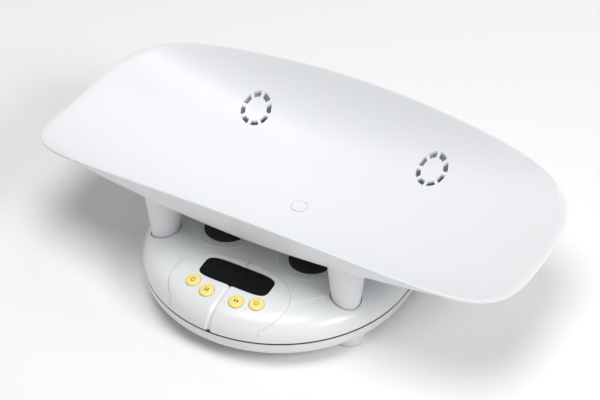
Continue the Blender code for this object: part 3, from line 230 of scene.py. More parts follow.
# Moulded plastic and rubber: a faint cloud in the colour, an uneven gloss and a fine grain
def makeMouldedSkin():
    group, start, end = newGroup("mouldedSkin", (
        ("Colour", "NodeSocketColor", (0.8, 0.8, 0.8, 1)),
        ("Shade", "NodeSocketColor", (0.78, 0.78, 0.78, 1)),
        ("Cloud Scale", "NodeSocketFloat", 9),
        ("Smooth", "NodeSocketFloat", 0.25),
        ("Rough", "NodeSocketFloat", 0.35),
        ("Grain Scale", "NodeSocketFloat", 900),
        ("Grain Depth", "NodeSocketFloat", 0.05),
    ), (("Colour", "NodeSocketColor"), ("Roughness", "NodeSocketFloat"), ("Normal", "NodeSocketVector")))
    add, link = group.nodes.new, group.links.new
    place = add("ShaderNodeTexCoord")
    cloud = add("ShaderNodeTexNoise")
    cloud.inputs["Detail"].default_value = 3
    link(place.outputs["Object"], cloud.inputs["Vector"])
    link(start.outputs["Cloud Scale"], cloud.inputs["Scale"])
    tint = add("ShaderNodeMix")
    tint.data_type = "RGBA"
    link(cloud.outputs["Fac"], tint.inputs["Factor"])
    link(start.outputs["Colour"], tint.inputs["A"])
    link(start.outputs["Shade"], tint.inputs["B"])
    link(tint.outputs["Result"], end.inputs["Colour"])
    gloss = add("ShaderNodeMapRange")
    link(cloud.outputs["Fac"], gloss.inputs["Value"])
    gloss.inputs["From Min"].default_value = 0.3
    gloss.inputs["From Max"].default_value = 0.7
    link(start.outputs["Smooth"], gloss.inputs["To Min"])
    link(start.outputs["Rough"], gloss.inputs["To Max"])
    link(gloss.outputs["Result"], end.inputs["Roughness"])
    grain = add("ShaderNodeTexNoise")
    grain.inputs["Detail"].default_value = 2
    link(place.outputs["Object"], grain.inputs["Vector"])
    link(start.outputs["Grain Scale"], grain.inputs["Scale"])
    bump = add("ShaderNodeBump")
    bump.inputs["Distance"].default_value = 0.1 * mm
    link(start.outputs["Grain Depth"], bump.inputs["Strength"])
    link(grain.outputs["Fac"], bump.inputs["Height"])
    link(bump.outputs["Normal"], end.inputs["Normal"])
    return group


mouldedSkin = makeMouldedSkin()


def mouldedMaterial(name, colour, shade, smooth, rough, grainScale=900, grainDepth=0.05, cloudScale=9):
    material = bpy.data.materials.new(name)
    material.use_nodes = True
    tree = material.node_tree
    shader = tree.nodes["Principled BSDF"]
    skin = tree.nodes.new("ShaderNodeGroup")
    skin.node_tree = mouldedSkin
    values = {
        "Colour": (*colour, 1), "Shade": (*shade, 1), "Cloud Scale": cloudScale, "Smooth": smooth,
        "Rough": rough, "Grain Scale": grainScale, "Grain Depth": grainDepth,
    }
    for label, value in values.items():
        skin.inputs[label].default_value = value
    tree.links.new(skin.outputs["Colour"], shader.inputs["Base Color"])
    tree.links.new(skin.outputs["Roughness"], shader.inputs["Roughness"])
    tree.links.new(skin.outputs["Normal"], shader.inputs["Normal"])
    material.diffuse_color = (*colour, 1)
    return material


# Circuit board: green lacquer over paler copper tracks
def makeBoardMaterial():
    material = bpy.data.materials.new("boardLacquer")
    material.use_nodes = True
    tree = material.node_tree
    shader = tree.nodes["Principled BSDF"]
    place = tree.nodes.new("ShaderNodeTexCoord")
    tracks = tree.nodes.new("ShaderNodeTexBrick")
    tracks.inputs["Scale"].default_value = 90
    tracks.inputs["Mortar Size"].default_value = 0.03
    tracks.inputs["Color1"].default_value = (0.02, 0.13, 0.05, 1)
    tracks.inputs["Color2"].default_value = (0.025, 0.16, 0.06, 1)
    tracks.inputs["Mortar"].default_value = (0.08, 0.30, 0.12, 1)
    tree.links.new(place.outputs["Object"], tracks.inputs["Vector"])
    tree.links.new(tracks.outputs["Color"], shader.inputs["Base Color"])
    shader.inputs["Roughness"].default_value = 0.35
    return material


# Rolled or turned steel: a fine streak in its gloss
def makeSteelMaterial():
    material = bpy.data.materials.new("platedSteel")
    material.use_nodes = True
    tree = material.node_tree
    shader = tree.nodes["Principled BSDF"]
    place = tree.nodes.new("ShaderNodeTexCoord")
    stretch = tree.nodes.new("ShaderNodeMapping")
    stretch.inputs["Scale"].default_value = (40, 900, 900)
    streak = tree.nodes.new("ShaderNodeTexNoise")
    streak.inputs["Scale"].default_value = 1
    gloss = tree.nodes.new("ShaderNodeMapRange")
    gloss.inputs["To Min"].default_value = 0.25
    gloss.inputs["To Max"].default_value = 0.5
    tree.links.new(place.outputs["Object"], stretch.inputs["Vector"])
    tree.links.new(stretch.outputs["Vector"], streak.inputs["Vector"])
    tree.links.new(streak.outputs["Fac"], gloss.inputs["Value"])
    tree.links.new(gloss.outputs["Result"], shader.inputs["Roughness"])
    shader.inputs["Base Color"].default_value = (0.6, 0.6, 0.58, 1)
    shader.inputs["Metallic"].default_value = 1
    return material


trayWhite = mouldedMaterial("trayWhite", (0.83, 0.845, 0.865), (0.82, 0.835, 0.855), 0.30, 0.38, 700, 0.03)
baseWhite = mouldedMaterial("baseWhite", (0.82, 0.835, 0.845), (0.81, 0.825, 0.835), 0.20, 0.28, 800, 0.03)
panWhite = mouldedMaterial("panWhite", (0.80, 0.80, 0.79), (0.78, 0.78, 0.77), 0.32, 0.42, 800, 0.08)
capYellow = mouldedMaterial("capYellow", (0.97, 0.81, 0.25), (0.95, 0.74, 0.21), 0.32, 0.42, 1200, 0.05)
markInk = mouldedMaterial("markInk", (0.05, 0.035, 0.02), (0.07, 0.05, 0.03), 0.45, 0.6)
matRubber = mouldedMaterial("matRubber", (0.01, 0.01, 0.011), (0.016, 0.016, 0.017), 0.5, 0.7, 1500, 0.4, 60)
padRubber = mouldedMaterial("padRubber", (0.22, 0.22, 0.225), (0.18, 0.18, 0.185), 0.65, 0.85, 1500, 0.3, 60)
blackPlastic = mouldedMaterial("blackPlastic", (0.02, 0.02, 0.02), (0.03, 0.03, 0.03), 0.35, 0.5)
lensDark = mouldedMaterial("lensDark", (0.004, 0.006, 0.005), (0.005, 0.007, 0.006), 0.05, 0.08, 300, 0.0)
displayGrey = mouldedMaterial("displayGrey", (0.20, 0.24, 0.20), (0.18, 0.22, 0.18), 0.12, 0.2)
batteryWrap = mouldedMaterial("batteryWrap", (0.05, 0.06, 0.09), (0.07, 0.08, 0.11), 0.25, 0.4)
boardLacquer = makeBoardMaterial()
platedSteel = makeSteelMaterial()

# The lens is coated, so it mirrors little of the room
lensDark.node_tree.nodes["Principled BSDF"].inputs["Specular IOR Level"].default_value = 0.12
print("finishes made")


# Tray: an unrolled disc drawn out to the rim and heights, with posts below and slots over each post
trayShape = {
    "halfLength": 280 * mm,
    "halfWidth": 134.5 * mm,
    "sideBow": 20.5 * mm,
    "floor": 65.4 * mm,
    "endRise": 40.4 * mm,
    "sideRise": 81.2 * mm,
    "cornerDrop": 21.2 * mm,
    "wall": 2.4 * mm,
    "lip": 2.2 * mm,
    "cornerPowers": (8.27, 3.84),
    "endPower": 1.84,
    "troughPowers": (2.36, 9),
    "steepShare": 0.41,
    "spokes": 224,
    "rings": 44,
    "rimRound": 0.8 * mm,
    "rimAngle": 50,
    "postPlace": (108.47 * mm, 92.25 * mm),
    "postLow": 38.3 * mm,
    "postLowRadius": 13.5 * mm,
    "postHigh": 122 * mm,
    "postTaper": 0.104,
    "postWall": 1.7 * mm,
    "postEdge": 0.5 * mm,
    "postSegments": 72,
    "slots": 8,
    "slotInner": 11.9 * mm,
    "slotOuter": 17.1 * mm,
    "spokeWidth": 3.2 * mm,
    "slotReach": 6.8 * mm,
    "slotCorner": 0.5 * mm,
    "markRadius": 8.5 * mm,
    "markWidth": 0.9 * mm,
    "markHeight": 0.4 * mm,
    "markRound": 0.15 * mm,
    "markSink": 0.5 * mm,
    "markGroove": 0.65 * mm,
    "markGrooveDepth": 1 * mm,
    "markOverlap": 0.05 * mm,
}


def rimPoint(angle, halfLength, halfWidth):
    c, s = abs(math.cos(angle)), abs(math.sin(angle))
    n, m = trayShape["cornerPowers"]
    bow = trayShape["sideBow"] / trayShape["halfWidth"]
    low, high = 0.0, math.sqrt(2)
    for _ in range(40):
        middle = (low + high) / 2
        along = middle * c
        inside = along < 1 and middle * s < (1 - bow * along**2) * (1 - along**n) ** (1 / m)
        low, high = (middle, high) if inside else (low, middle)
    return low * halfLength * math.cos(angle), low * halfWidth * math.sin(angle)


def trayHeight(x, y):
    t = trayShape
    along = abs(x) / (t["halfLength"] - t["lip"])
    across = abs(y) / (t["halfWidth"] - t["lip"])
    soft, steep = t["troughPowers"]
    trough = (1 - t["steepShare"]) * across**soft + t["steepShare"] * across**steep
    side = t["sideRise"] - t["cornerDrop"] * along**2
    return t["floor"] + t["endRise"] * along ** t["endPower"] + side * trough


def addTraySheet(bm, drop=0, withLip=True):
    t = trayShape
    shares = [i / t["rings"] for i in range(t["rings"] + 1)] + ([2] if withLip else [])
    points = [bm.verts.new((share, 0, 0)) for share in shares]
    edges = [bm.edges.new(pair) for pair in zip(points, points[1:])]
    bmesh.ops.spin(
        bm, geom=points + edges, cent=(0, 0, 0), axis=(0, 0, 1), angle=fullTurn,
        steps=t["spokes"], use_merge=True, use_duplicate=False,
    )
    bmesh.ops.remove_doubles(bm, verts=bm.verts, dist=weldDistance)
    rims = {}
    for vert in bm.verts:
        share, angle = vert.co.xy.length, round(math.atan2(vert.co.y, vert.co.x), 5)
        if angle not in rims:
            rims[angle] = (
                rimPoint(angle, t["halfLength"] - t["lip"], t["halfWidth"] - t["lip"]),
                rimPoint(angle, t["halfLength"], t["halfWidth"]),
            )
        inner, outer = rims[angle]
        if share > 1.5:
            vert.co = (*outer, trayHeight(*inner) - drop)
        else:
            x, y = inner[0] * share, inner[1] * share
            vert.co = (x, y, trayHeight(x, y) - drop)


def postRadius(height):
    return trayShape["postLowRadius"] + (height - trayShape["postLow"]) * trayShape["postTaper"]


def makeTray():
    t = trayShape
    bm = bmesh.new()
    addTraySheet(bm)
    tray = pieceFrom(bm, "trayShell")
    wall = tray.modifiers.new("wall", "SOLIDIFY")
    wall.thickness = t["wall"]
    wall.offset = -1
    wall.use_even_offset = True
    settle(tray)
    rimBevel = tray.modifiers.new("rim", "BEVEL")
    rimBevel.width = t["rimRound"]
    rimBevel.segments = 3
    rimBevel.limit_method = "ANGLE"
    rimBevel.angle_limit = math.radians(t["rimAngle"])
    settle(tray)

    bm = bmesh.new()
    addTraySheet(bm, drop=t["wall"] / 2, withLip=False)
    raised = bmesh.ops.extrude_face_region(bm, geom=bm.faces[:])["geom"]
    top = [item for item in raised if isinstance(item, bmesh.types.BMVert)]
    bmesh.ops.translate(bm, verts=top, vec=(0, 0, t["sideRise"]))
    above = pieceFrom(bm, "aboveTray")
    posts = bmesh.new()
    high, low = postRadius(t["postHigh"]), t["postLowRadius"]
    path = [
        (high - t["postWall"], t["postHigh"]), (high, t["postHigh"]), (low, t["postLow"]),
        (low - t["postWall"], t["postLow"]), (high - t["postWall"], t["postHigh"]),
    ]
    path = rounded(path, {2: t["postEdge"], 3: t["postEdge"]}, 3)
    for x, y in fourPlaces(*t["postPlace"]).values():
        one = bmesh.new()
        addTurned(one, path, t["postSegments"], Matrix.Translation((x, y, 0)))
        mesh = bpy.data.meshes.new("post")
        bmesh.ops.recalc_face_normals(one, faces=one.faces)
        one.to_mesh(mesh)
        one.free()
        posts.from_mesh(mesh)
        bpy.data.meshes.remove(mesh)
    postPiece = pieceFrom(posts, "posts")
    carve(postPiece, above)
    carve(tray, postPiece, "UNION")

    bm = bmesh.new()
    pitch = fullTurn / t["slots"]
    middle = (t["slotInner"] + t["slotOuter"]) / 2
    for x, y in fourPlaces(*t["postPlace"]).values():
        for i in range(t["slots"]):
            angle = (i + 0.5) * pitch
            height = trayHeight(x + middle * math.cos(angle), y + middle * math.sin(angle))
            outline = []
            sides = ((t["slotInner"], (-1, -0.5, 0, 0.5, 1)), (t["slotOuter"], (1, 0.5, 0, -0.5, -1)))
            for radius, order in sides:
                half = pitch / 2 - t["spokeWidth"] / 2 / radius
                for step in order:
                    turn = angle + step * half
                    outline.append((x + radius * math.cos(turn), y + radius * math.sin(turn)))
            count = len(bm.verts)
            addPrism(bm, outline, height - t["slotReach"], height + t["slotReach"])
            bm.verts.ensure_lookup_table()
            places = [Vector(outline[k]) for k in (0, len(order) - 1, len(order), -1)]
            upright = [
                edge for vert in bm.verts[count:] for edge in vert.link_edges
                if abs(edge.verts[0].co.z - edge.verts[1].co.z) > t["slotReach"]
                and any((edge.verts[0].co.xy - place).length < weldDistance for place in places)
            ]
            bmesh.ops.bevel(
                bm, geom=list(set(upright)), offset=t["slotCorner"], segments=2, affect="EDGES",
                profile=0.5, material=-1,
            )
    carve(tray, pieceFrom(bm, "slots"))

    bm = bmesh.new()
    inner, outer = t["markRadius"] - t["markWidth"], t["markRadius"]
    low, high = t["floor"] - t["markSink"], t["floor"] + t["markHeight"]
    path = [(inner, low), (inner, high), (outer, high), (outer, low), (inner, low)]
    path = rounded(path, {1: t["markRound"], 2: t["markRound"]}, 2)
    addTurned(bm, path, t["postSegments"])
    carve(tray, pieceFrom(bm, "mark"), "UNION")
    bm = bmesh.new()
    inner, outer = outer - t["markOverlap"], outer + t["markGroove"]
    low, high = t["floor"] - t["markGrooveDepth"], t["floor"] + overrun
    path = [(inner, low), (inner, high), (outer, high), (outer, low), (inner, low)]
    addTurned(bm, path, t["postSegments"])
    carve(tray, pieceFrom(bm, "markGroove"))
    dress(tray, trayWhite, "tray", "white_plastic", "tray")
    print("tray made", len(tray.data.polygons))


# Top cover: platform, crease and shoulder, with sockets, dishes for the mats and the panel's opening
baseShape = {
    "radius": 145.5 * mm,
    "straight": 38.4 * mm,
    "seamLow": 30.3 * mm,
    "seamHigh": 32.5 * mm,
    "platform": 61.2 * mm,
    "platformRadius": 97 * mm,
    "creaseRadius": 113.5 * mm,
    "creaseDrop": 2.6 * mm,
    "creaseStep": 0.9 * mm,
    "creaseRound": 0.25 * mm,
    "shoulderFall": 0.25,
    "shoulderPower": 4,
    "shoulderSteps": 18,
    "arcSteps": 80,
    "wall": 3 * mm,
    "socketFloor": 38.0 * mm,
    "socketRoom": 1.0 * mm,
    "socketWall": 2 * mm,
    "socketSegments": 96,
    "matX": 51 * mm,
    "matArcY": 62.55 * mm,
    "matRadius": 23.6 * mm,
    "dishRadius": 34.75 * mm,
    "dishDepth": 1.3 * mm,
    "beadHeight": 0.6 * mm,
    "beadFlat": 0.5 * mm,
    "beadRun": 1.1,
    "matSink": 0.9 * mm,
    "matThickness": 1.2 * mm,
    "matRound": 0.4 * mm,
    "matArcSteps": 64,
    # Sizes of the black ring in the seam, a dark piece that is painted shade in the gap
    "shadeRingInner": 142.1 * mm,
    "shadeRingOuter": 145.2 * mm,
    "shadeRingRoom": 0.05 * mm,
}


def shoulder(topHeight):
    b = baseShape
    points = []
    for i in range(1, b["shoulderSteps"] + 1):
        share = 1 - (1 - i / b["shoulderSteps"]) ** 2
        fall = (1 - b["shoulderFall"] * share) * math.sqrt(1 - share ** b["shoulderPower"])
        radius = b["creaseRadius"] + (b["radius"] - b["creaseRadius"]) * share
        points.append((radius, b["seamHigh"] + (topHeight - b["seamHigh"]) * fall))
    return points


# The cover's outer side has a small step at the crease, which its inner side leaves out
def coverPath(withStep=True):
    b = baseShape
    crease, step = b["platform"] - b["creaseDrop"], b["creaseStep"]
    path = [(0, b["platform"]), (b["platformRadius"], b["platform"])]
    if not withStep:
        return path + [(b["creaseRadius"], crease)] + shoulder(crease)
    path += [(b["creaseRadius"] - step, crease + step), (b["creaseRadius"], crease)]
    return rounded(path + shoulder(crease), {2: b["creaseRound"], 3: b["creaseRound"]}, 3)


def makeCover():
    b, t = baseShape, trayShape
    plain = coverPath(withStep=False)
    bm = bmesh.new()
    addOval(bm, coverPath() + inset(plain, b["wall"])[::-1], b["straight"], b["arcSteps"])
    cover = pieceFrom(bm, "coverShell")

    bm = bmesh.new()
    bound = inset(plain, embed)
    bound += [(bound[-1][0], b["seamLow"] - overrun), (0, b["seamLow"] - overrun)]
    addOval(bm, bound, b["straight"], b["arcSteps"])
    inside = pieceFrom(bm, "inside")
    bm = bmesh.new()
    grow = b["socketRoom"] + b["socketWall"]
    for place in fourPlaces(*t["postPlace"]).values():
        low = b["socketFloor"] - b["socketWall"]
        addCylinder(
            bm, postRadius(low) + grow, low, b["platform"], place, segments=b["socketSegments"],
            topRadius=postRadius(b["platform"]) + grow,
        )
    cups = pieceFrom(bm, "cups")
    carve(cups, inside, "INTERSECT")
    carve(cover, cups, "UNION")

    bm = bmesh.new()
    for place in fourPlaces(*t["postPlace"]).values():
        low, high = b["socketFloor"], b["platform"] + overrun
        addCylinder(
            bm, postRadius(low) + b["socketRoom"], low, high, place, segments=b["socketSegments"],
            topRadius=postRadius(high) + b["socketRoom"],
        )
    carve(cover, pieceFrom(bm, "bores"))

    bm = bmesh.new()
    edge, beadTop, beadLow = b["matRadius"] + air, b["platform"] + b["beadHeight"], b["platform"] - embed
    inner, outer = (b["dishRadius"] + edge) / 2, b["dishRadius"] + b["beadFlat"]
    bead = [(inner, beadLow), (inner, beadTop), (outer, beadTop)]
    bead += [(outer + b["beadRun"] * (beadTop - beadLow), beadLow), bead[0]]
    for side in (-1, 1):
        addOval(bm, bead, b["matArcY"], b["matArcSteps"], (side * b["matX"], 0))
    carve(cover, pieceFrom(bm, "dishBeads"), "UNION")
    bm = bmesh.new()
    floor = b["platform"] - b["dishDepth"] - b["matSink"]
    slope = (b["dishRadius"] - edge) / (b["dishDepth"] + b["beadHeight"])
    recess = [
        (0, beadTop + embed), (b["dishRadius"] + slope * embed, beadTop + embed),
        (edge, b["platform"] - b["dishDepth"]), (edge, floor), (0, floor),
    ]
    for side in (-1, 1):
        addOval(bm, recess, b["matArcY"], b["matArcSteps"], (side * b["matX"], 0))
    carve(cover, pieceFrom(bm, "dishes"))

    bm = bmesh.new()
    addPrism(bm, panelOpening(), b["seamLow"] - overrun, b["platform"] + overrun)
    carve(cover, pieceFrom(bm, "panelOpening"))
    dress(cover, baseWhite, "base", "white_plastic", "top_cover")
    print("cover made", len(cover.data.polygons))


def makeMats():
    b = baseShape
    high = b["platform"] - b["dishDepth"] - b["matSink"] + air + b["matThickness"]
    low = high - b["matThickness"]
    path = [(0, high), (b["matRadius"], high), (b["matRadius"], low), (0, low)]
    for name, side in (("left_mat", -1), ("right_mat", 1)):
        bm = bmesh.new()
        soft = rounded(path, {1: b["matRound"]})
        addOval(bm, soft, b["matArcY"], b["matArcSteps"], (side * b["matX"], 0))
        dress(pieceFrom(bm, name + "Skin"), matRubber, "base", "black_rubber", name)
    print("mats made")


# A thin black ring lies in the seam, round the housing's lip: painted shade, a dark piece put in to darken
# the seam's gap
def makeSeamShadeRing():
    b = baseShape
    low, high = b["seamLow"] + b["shadeRingRoom"], b["seamHigh"] - b["shadeRingRoom"]
    path = [(b["shadeRingInner"], low), (b["shadeRingInner"], high), (b["shadeRingOuter"], high), (b["shadeRingOuter"], low)]
    bm = bmesh.new()
    addOval(bm, path + path[:1], b["straight"], b["arcSteps"])
    dress(pieceFrom(bm, "seamShadeRing"), matRubber, "base", "black_rubber")
    print("seal made")


# Control panel: a pillow-shaped fascia in the front of the cover
panelShape = {
    "centreY": -142.3 * mm,
    "halfWidth": 66.5 * mm,
    "halfDepth": 42 * mm,
    "power": 2.2,
    "frontY": -170.7 * mm,
    "flare": 0.18,
    "step": 3 * mm,
    "creaseStep": 1 * mm,
    "slopeRadius": 76.5 * mm,
    "softSlope": 3 * mm,
    "roll": 6 * mm,
    "edgeShare": 0.15,
    "rim": 0.5 * mm,
    "frontSpokes": 80,
    "rearSpokes": 176,
    "rings": 44,
    "wall": 3 * mm,
    "rearRadius": 61.9 * mm,
    "grooveRear": 4.6 * mm,
    "grooveFront": 6.6 * mm,
    "grooveDepth": 2.2 * mm,
    "grooveFloor": 0.15,
    "windowY": -126.4 * mm,
    "windowHalfWidth": 40.3 * mm,
    "windowHalfDepth": 14.4 * mm,
    "windowPower": 4.6,
    "windowHeight": 62.1 * mm,
    "windowTilt": math.radians(6.3),
    "windowThickness": 1.8 * mm,
    "windowLedge": 2.2 * mm,
    "windowSteps": 128,
    "windowRound": 0.4 * mm,
    "windowAngle": 50,
}
buttonShape = {
    "places": {
        "zero_button": (-37.5 * mm, -150 * mm),
        "hold_button": (-17.4 * mm, -156.4 * mm),
        "unit_button": (17.4 * mm, -156.4 * mm),
        "power_button": (37.5 * mm, -150 * mm),
    },
    "radius": 7.8 * mm,
    "rise": 1.6 * mm,
    "edgeShare": 0.3,
    "domePower": 2.6,
    "edgeRound": 0.25 * mm,
    "room": 0.4 * mm,
    "tilt": math.radians(11),
    "flangeRadius": 9 * mm,
    "flangeThickness": 1 * mm,
    "stemRadius": 2.2 * mm,
    "stemLength": 2.2 * mm,
    "segments": 80,
    "domeSteps": 12,
}


def panelPath():
    b, p = baseShape, panelShape
    crown = b["platform"] + p["step"]
    crease = b["platform"] - b["creaseDrop"] + p["creaseStep"]
    path = [(0, crown), (p["slopeRadius"], crown), (b["creaseRadius"], crease)] + shoulder(crease)
    return rounded(path, {1: p["softSlope"], 2: p["softSlope"]}, 6)


def pathHeight(path, radius):
    for (r0, z0), (r1, z1) in zip(path, path[1:]):
        if r0 <= radius <= r1:
            return z0 + (z1 - z0) * (radius - r0) / (r1 - r0)
    return path[-1][1]


# Half the panel's width in plan: an oval, which runs out to the front past its corners
def panelHalfWidth(y, grow):
    p = panelShape
    share = abs(max(y, p["frontY"]) - p["centreY"]) / (p["halfDepth"] + grow)
    oval = (p["halfWidth"] + grow) * max(1 - share ** p["power"], 0) ** (1 / p["power"])
    return oval + max(p["frontY"] - y, 0) * p["flare"]


# How far the panel lies from its middle, up to the limit of radius, found by halving
def panelReach(angle, grow, limit):
    p, b = panelShape, baseShape
    low, high = 0.0, 2 * p["halfWidth"]
    for _ in range(40):
        middle = (low + high) / 2
        x, y = middle * math.cos(angle), p["centreY"] + middle * math.sin(angle)
        inside = abs(x) < panelHalfWidth(y, grow) and math.hypot(x, y + b["straight"]) < limit
        low, high = (middle, high) if inside else (low, middle)
    return low


# The spokes of the panel, counted from its right front corner round the rear
def panelAngles():
    p, b = panelShape, baseShape
    low, high = -math.pi / 2, 0.0
    for _ in range(40):
        middle = (low + high) / 2
        reach = panelReach(middle, 0, b["radius"])
        y = p["centreY"] + reach * math.sin(middle) + b["straight"]
        front = math.hypot(reach * math.cos(middle), y) > b["radius"] - weldDistance
        low, high = (middle, high) if front else (low, middle)
    rear, front = math.pi - 2 * low, math.pi + 2 * low
    angles = [low + rear * i / p["rearSpokes"] for i in range(p["rearSpokes"])]
    return angles + [low + rear + front * i / p["frontSpokes"] for i in range(p["frontSpokes"])]


def panelOpening():
    p, b = panelShape, baseShape
    edge = []
    for angle in panelAngles()[:p["rearSpokes"] + 1]:
        reach = panelReach(angle, air, b["radius"])
        edge.append((reach * math.cos(angle), p["centreY"] + reach * math.sin(angle)))
    frontY = -b["straight"] - b["radius"] - overrun
    cornerX = panelHalfWidth(frontY, air)
    return edge + [(-cornerX, frontY), (cornerX, frontY)]


def addPanelSheet(bm):
    p, b = panelShape, baseShape
    quarter = math.pi / 2
    shares = [math.sin(quarter * i / p["rings"]) for i in range(p["rings"] + 1)]
    points = [bm.verts.new((share, 0, 0)) for share in shares]
    edges = [bm.edges.new(pair) for pair in zip(points, points[1:])]
    spokes = p["frontSpokes"] + p["rearSpokes"]
    bmesh.ops.spin(
        bm, geom=points + edges, cent=(0, 0, 0), axis=(0, 0, 1), angle=fullTurn,
        steps=spokes, use_merge=True, use_duplicate=False,
    )
    bmesh.ops.remove_doubles(bm, verts=bm.verts, dist=weldDistance)
    reaches = [(a, panelReach(a, 0, b["radius"]), panelReach(a, 0, 2 * b["radius"])) for a in panelAngles()]
    coverLine, panelLine = coverPath(), panelPath()
    for vert in bm.verts:
        share, turn = vert.co.xy.length, math.atan2(vert.co.y, vert.co.x) / fullTurn
        angle, reach, whole = reaches[round(turn * spokes) % spokes]
        x, y = reach * share * math.cos(angle), p["centreY"] + reach * share * math.sin(angle)
        radius = math.hypot(x, y + b["straight"])
        low, high = pathHeight(coverLine, radius), pathHeight(panelLine, radius)
        margin = min(max((whole - reach * share) / p["roll"], 0), 1)
        roll = p["edgeShare"] + (1 - p["edgeShare"]) * math.sqrt(1 - (1 - margin) ** 2)
        vert.co = (x, y, max(low + (high - low) * roll, b["seamHigh"] + p["rim"]))


# The channel down the panel's middle follows the panel's face and widens to the front
def addGroove(bm):
    p, b = panelShape, baseShape
    crown = b["platform"] + p["step"]
    edgeHeight = b["platform"] + p["step"] * p["edgeShare"]
    path = [
        (p["rearRadius"] - overrun, edgeHeight), (p["rearRadius"], edgeHeight),
        (p["rearRadius"] + p["roll"] / 2, crown), (p["slopeRadius"] - p["softSlope"], crown),
    ]
    path += [point for point in panelPath() if point[0] > p["slopeRadius"]]
    path.append((b["radius"], b["seamLow"] - overrun))
    sections = []
    for (lowR, low), (highR, high) in zip(inset(path, p["grooveDepth"]), inset(path, -p["grooveDepth"])):
        share = min(max((lowR - p["slopeRadius"]) / (b["radius"] - p["slopeRadius"]), 0), 1)
        half = (p["grooveRear"] + (p["grooveFront"] - p["grooveRear"]) * share) / 2
        narrow, wide = half * p["grooveFloor"], half * (2 - p["grooveFloor"])
        lowY, highY = -b["straight"] - lowR, -b["straight"] - highR
        sections.append([
            (-narrow, lowY, low), (narrow, lowY, low), (wide, highY, high), (-wide, highY, high),
        ])
    addLoft(bm, sections)


def windowMatrix():
    p = panelShape
    place = Matrix.Translation((0, p["windowY"], p["windowHeight"]))
    return place @ Matrix.Rotation(p["windowTilt"], 4, "X")


def buttonMatrix(name):
    x, y = buttonShape["places"][name]
    outward = Vector((x, y + baseShape["straight"], 0))
    height = pathHeight(panelPath(), outward.length)
    tilt = buttonShape["tilt"]
    normal = outward.normalized() * math.sin(tilt) + Vector((0, 0, math.cos(tilt)))
    turn = Vector((0, 0, 1)).rotation_difference(normal).to_matrix().to_4x4()
    return Matrix.Translation((x, y, height)) @ turn


def makePanel():
    b, p, k = baseShape, panelShape, buttonShape
    bm = bmesh.new()
    addPanelSheet(bm)
    lowered = bmesh.ops.extrude_face_region(bm, geom=bm.faces[:])["geom"]
    for vert in (item for item in lowered if isinstance(item, bmesh.types.BMVert)):
        vert.co.z = b["seamHigh"]
    panel = pieceFrom(bm, "panelShell")
    bm = bmesh.new()
    room = inset(panelPath(), p["wall"])
    flat = [(radius, height - p["step"] / 2) for radius, height in room if radius < p["slopeRadius"]]
    room = flat + [point for point in room if point[0] > p["slopeRadius"]]
    room += [(room[-1][0], b["seamHigh"] - overrun), (0, b["seamHigh"] - overrun)]
    addOval(bm, room, b["straight"], b["arcSteps"])
    carve(panel, pieceFrom(bm, "panelRoom"))

    bm = bmesh.new()
    halfWidth, halfDepth = p["windowHalfWidth"] + air, p["windowHalfDepth"] + air
    addPrism(
        bm, superellipse(halfWidth, halfDepth, p["windowPower"], p["windowSteps"]),
        -p["windowThickness"] - air, overrun, windowMatrix(),
    )
    carve(panel, pieceFrom(bm, "windowOpening"))
    bm = bmesh.new()
    halfWidth, halfDepth = p["windowHalfWidth"] - p["windowLedge"], p["windowHalfDepth"] - p["windowLedge"]
    addPrism(
        bm, superellipse(halfWidth, halfDepth, p["windowPower"], p["windowSteps"]),
        -overrun, overrun, windowMatrix(),
    )
    carve(panel, pieceFrom(bm, "windowView"))

    bm = bmesh.new()
    for name in k["places"]:
        hole = k["radius"] + k["room"]
        addCylinder(bm, hole, -overrun, overrun, matrix=buttonMatrix(name), segments=k["segments"])
    carve(panel, pieceFrom(bm, "buttonHoles"))
    bm = bmesh.new()
    for name in k["places"]:
        seat = k["flangeRadius"] + k["room"]
        addCylinder(bm, seat, -overrun, -p["wall"], matrix=buttonMatrix(name), segments=k["segments"])
    carve(panel, pieceFrom(bm, "buttonSeats"))
    bm = bmesh.new()
    addGroove(bm)
    carve(panel, pieceFrom(bm, "groove"))
    dress(panel, baseWhite, "base", "white_plastic", "control_panel")

    bm = bmesh.new()
    outline = superellipse(p["windowHalfWidth"], p["windowHalfDepth"], p["windowPower"], p["windowSteps"])
    addPrism(bm, outline, -p["windowThickness"], 0, windowMatrix())
    lens = pieceFrom(bm, "windowLens")
    edge = lens.modifiers.new("edge", "BEVEL")
    edge.width = p["windowRound"]
    edge.segments = 3
    edge.limit_method = "ANGLE"
    edge.angle_limit = math.radians(p["windowAngle"])
    settle(lens)
    dress(lens, lensDark, "base", "dark_window", "display_window")
    print("panel made", len(panel.data.polygons))


# Buttons: domed caps, each with a plain printed sign
signShape = {
    "ring": (1.5 * mm, 2.1 * mm),
    "ringStretch": 1.35,
    "bars": ((-1.9 * mm, -0.7 * mm), (0.7 * mm, 1.9 * mm)),
    "barHalf": 2.2 * mm,
    "arrow": (0.6 * mm, 3 * mm),
    "arrowHalf": 1.9 * mm,
    "arc": (1.8 * mm, 2.4 * mm),
    "arcStart": math.radians(122),
    "arcTurn": math.radians(296),
    "strokeHalf": 0.3 * mm,
    "stroke": (0.6 * mm, 2.9 * mm),
    "lift": 0.03 * mm,
    "thickness": 0.1 * mm,
}


def domeHeight(radius):
    k = buttonShape
    share = min(radius / k["radius"], 1)
    return k["rise"] * (k["edgeShare"] + (1 - k["edgeShare"]) * math.sqrt(1 - share ** k["domePower"]))


def addRing(bm, inner, outer, start, turn, steps=28, stretch=1.0):
    edge = bm.edges.new((
        bm.verts.new((inner * math.cos(start), inner * math.sin(start), 0)),
        bm.verts.new((outer * math.cos(start), outer * math.sin(start), 0)),
    ))
    bmesh.ops.spin(
        bm, geom=list(edge.verts) + [edge], cent=(0, 0, 0), axis=(0, 0, 1), angle=turn,
        steps=steps, use_duplicate=False,
    )
    bmesh.ops.remove_doubles(bm, verts=bm.verts, dist=weldDistance)
    for vert in bm.verts:
        vert.co.y *= stretch


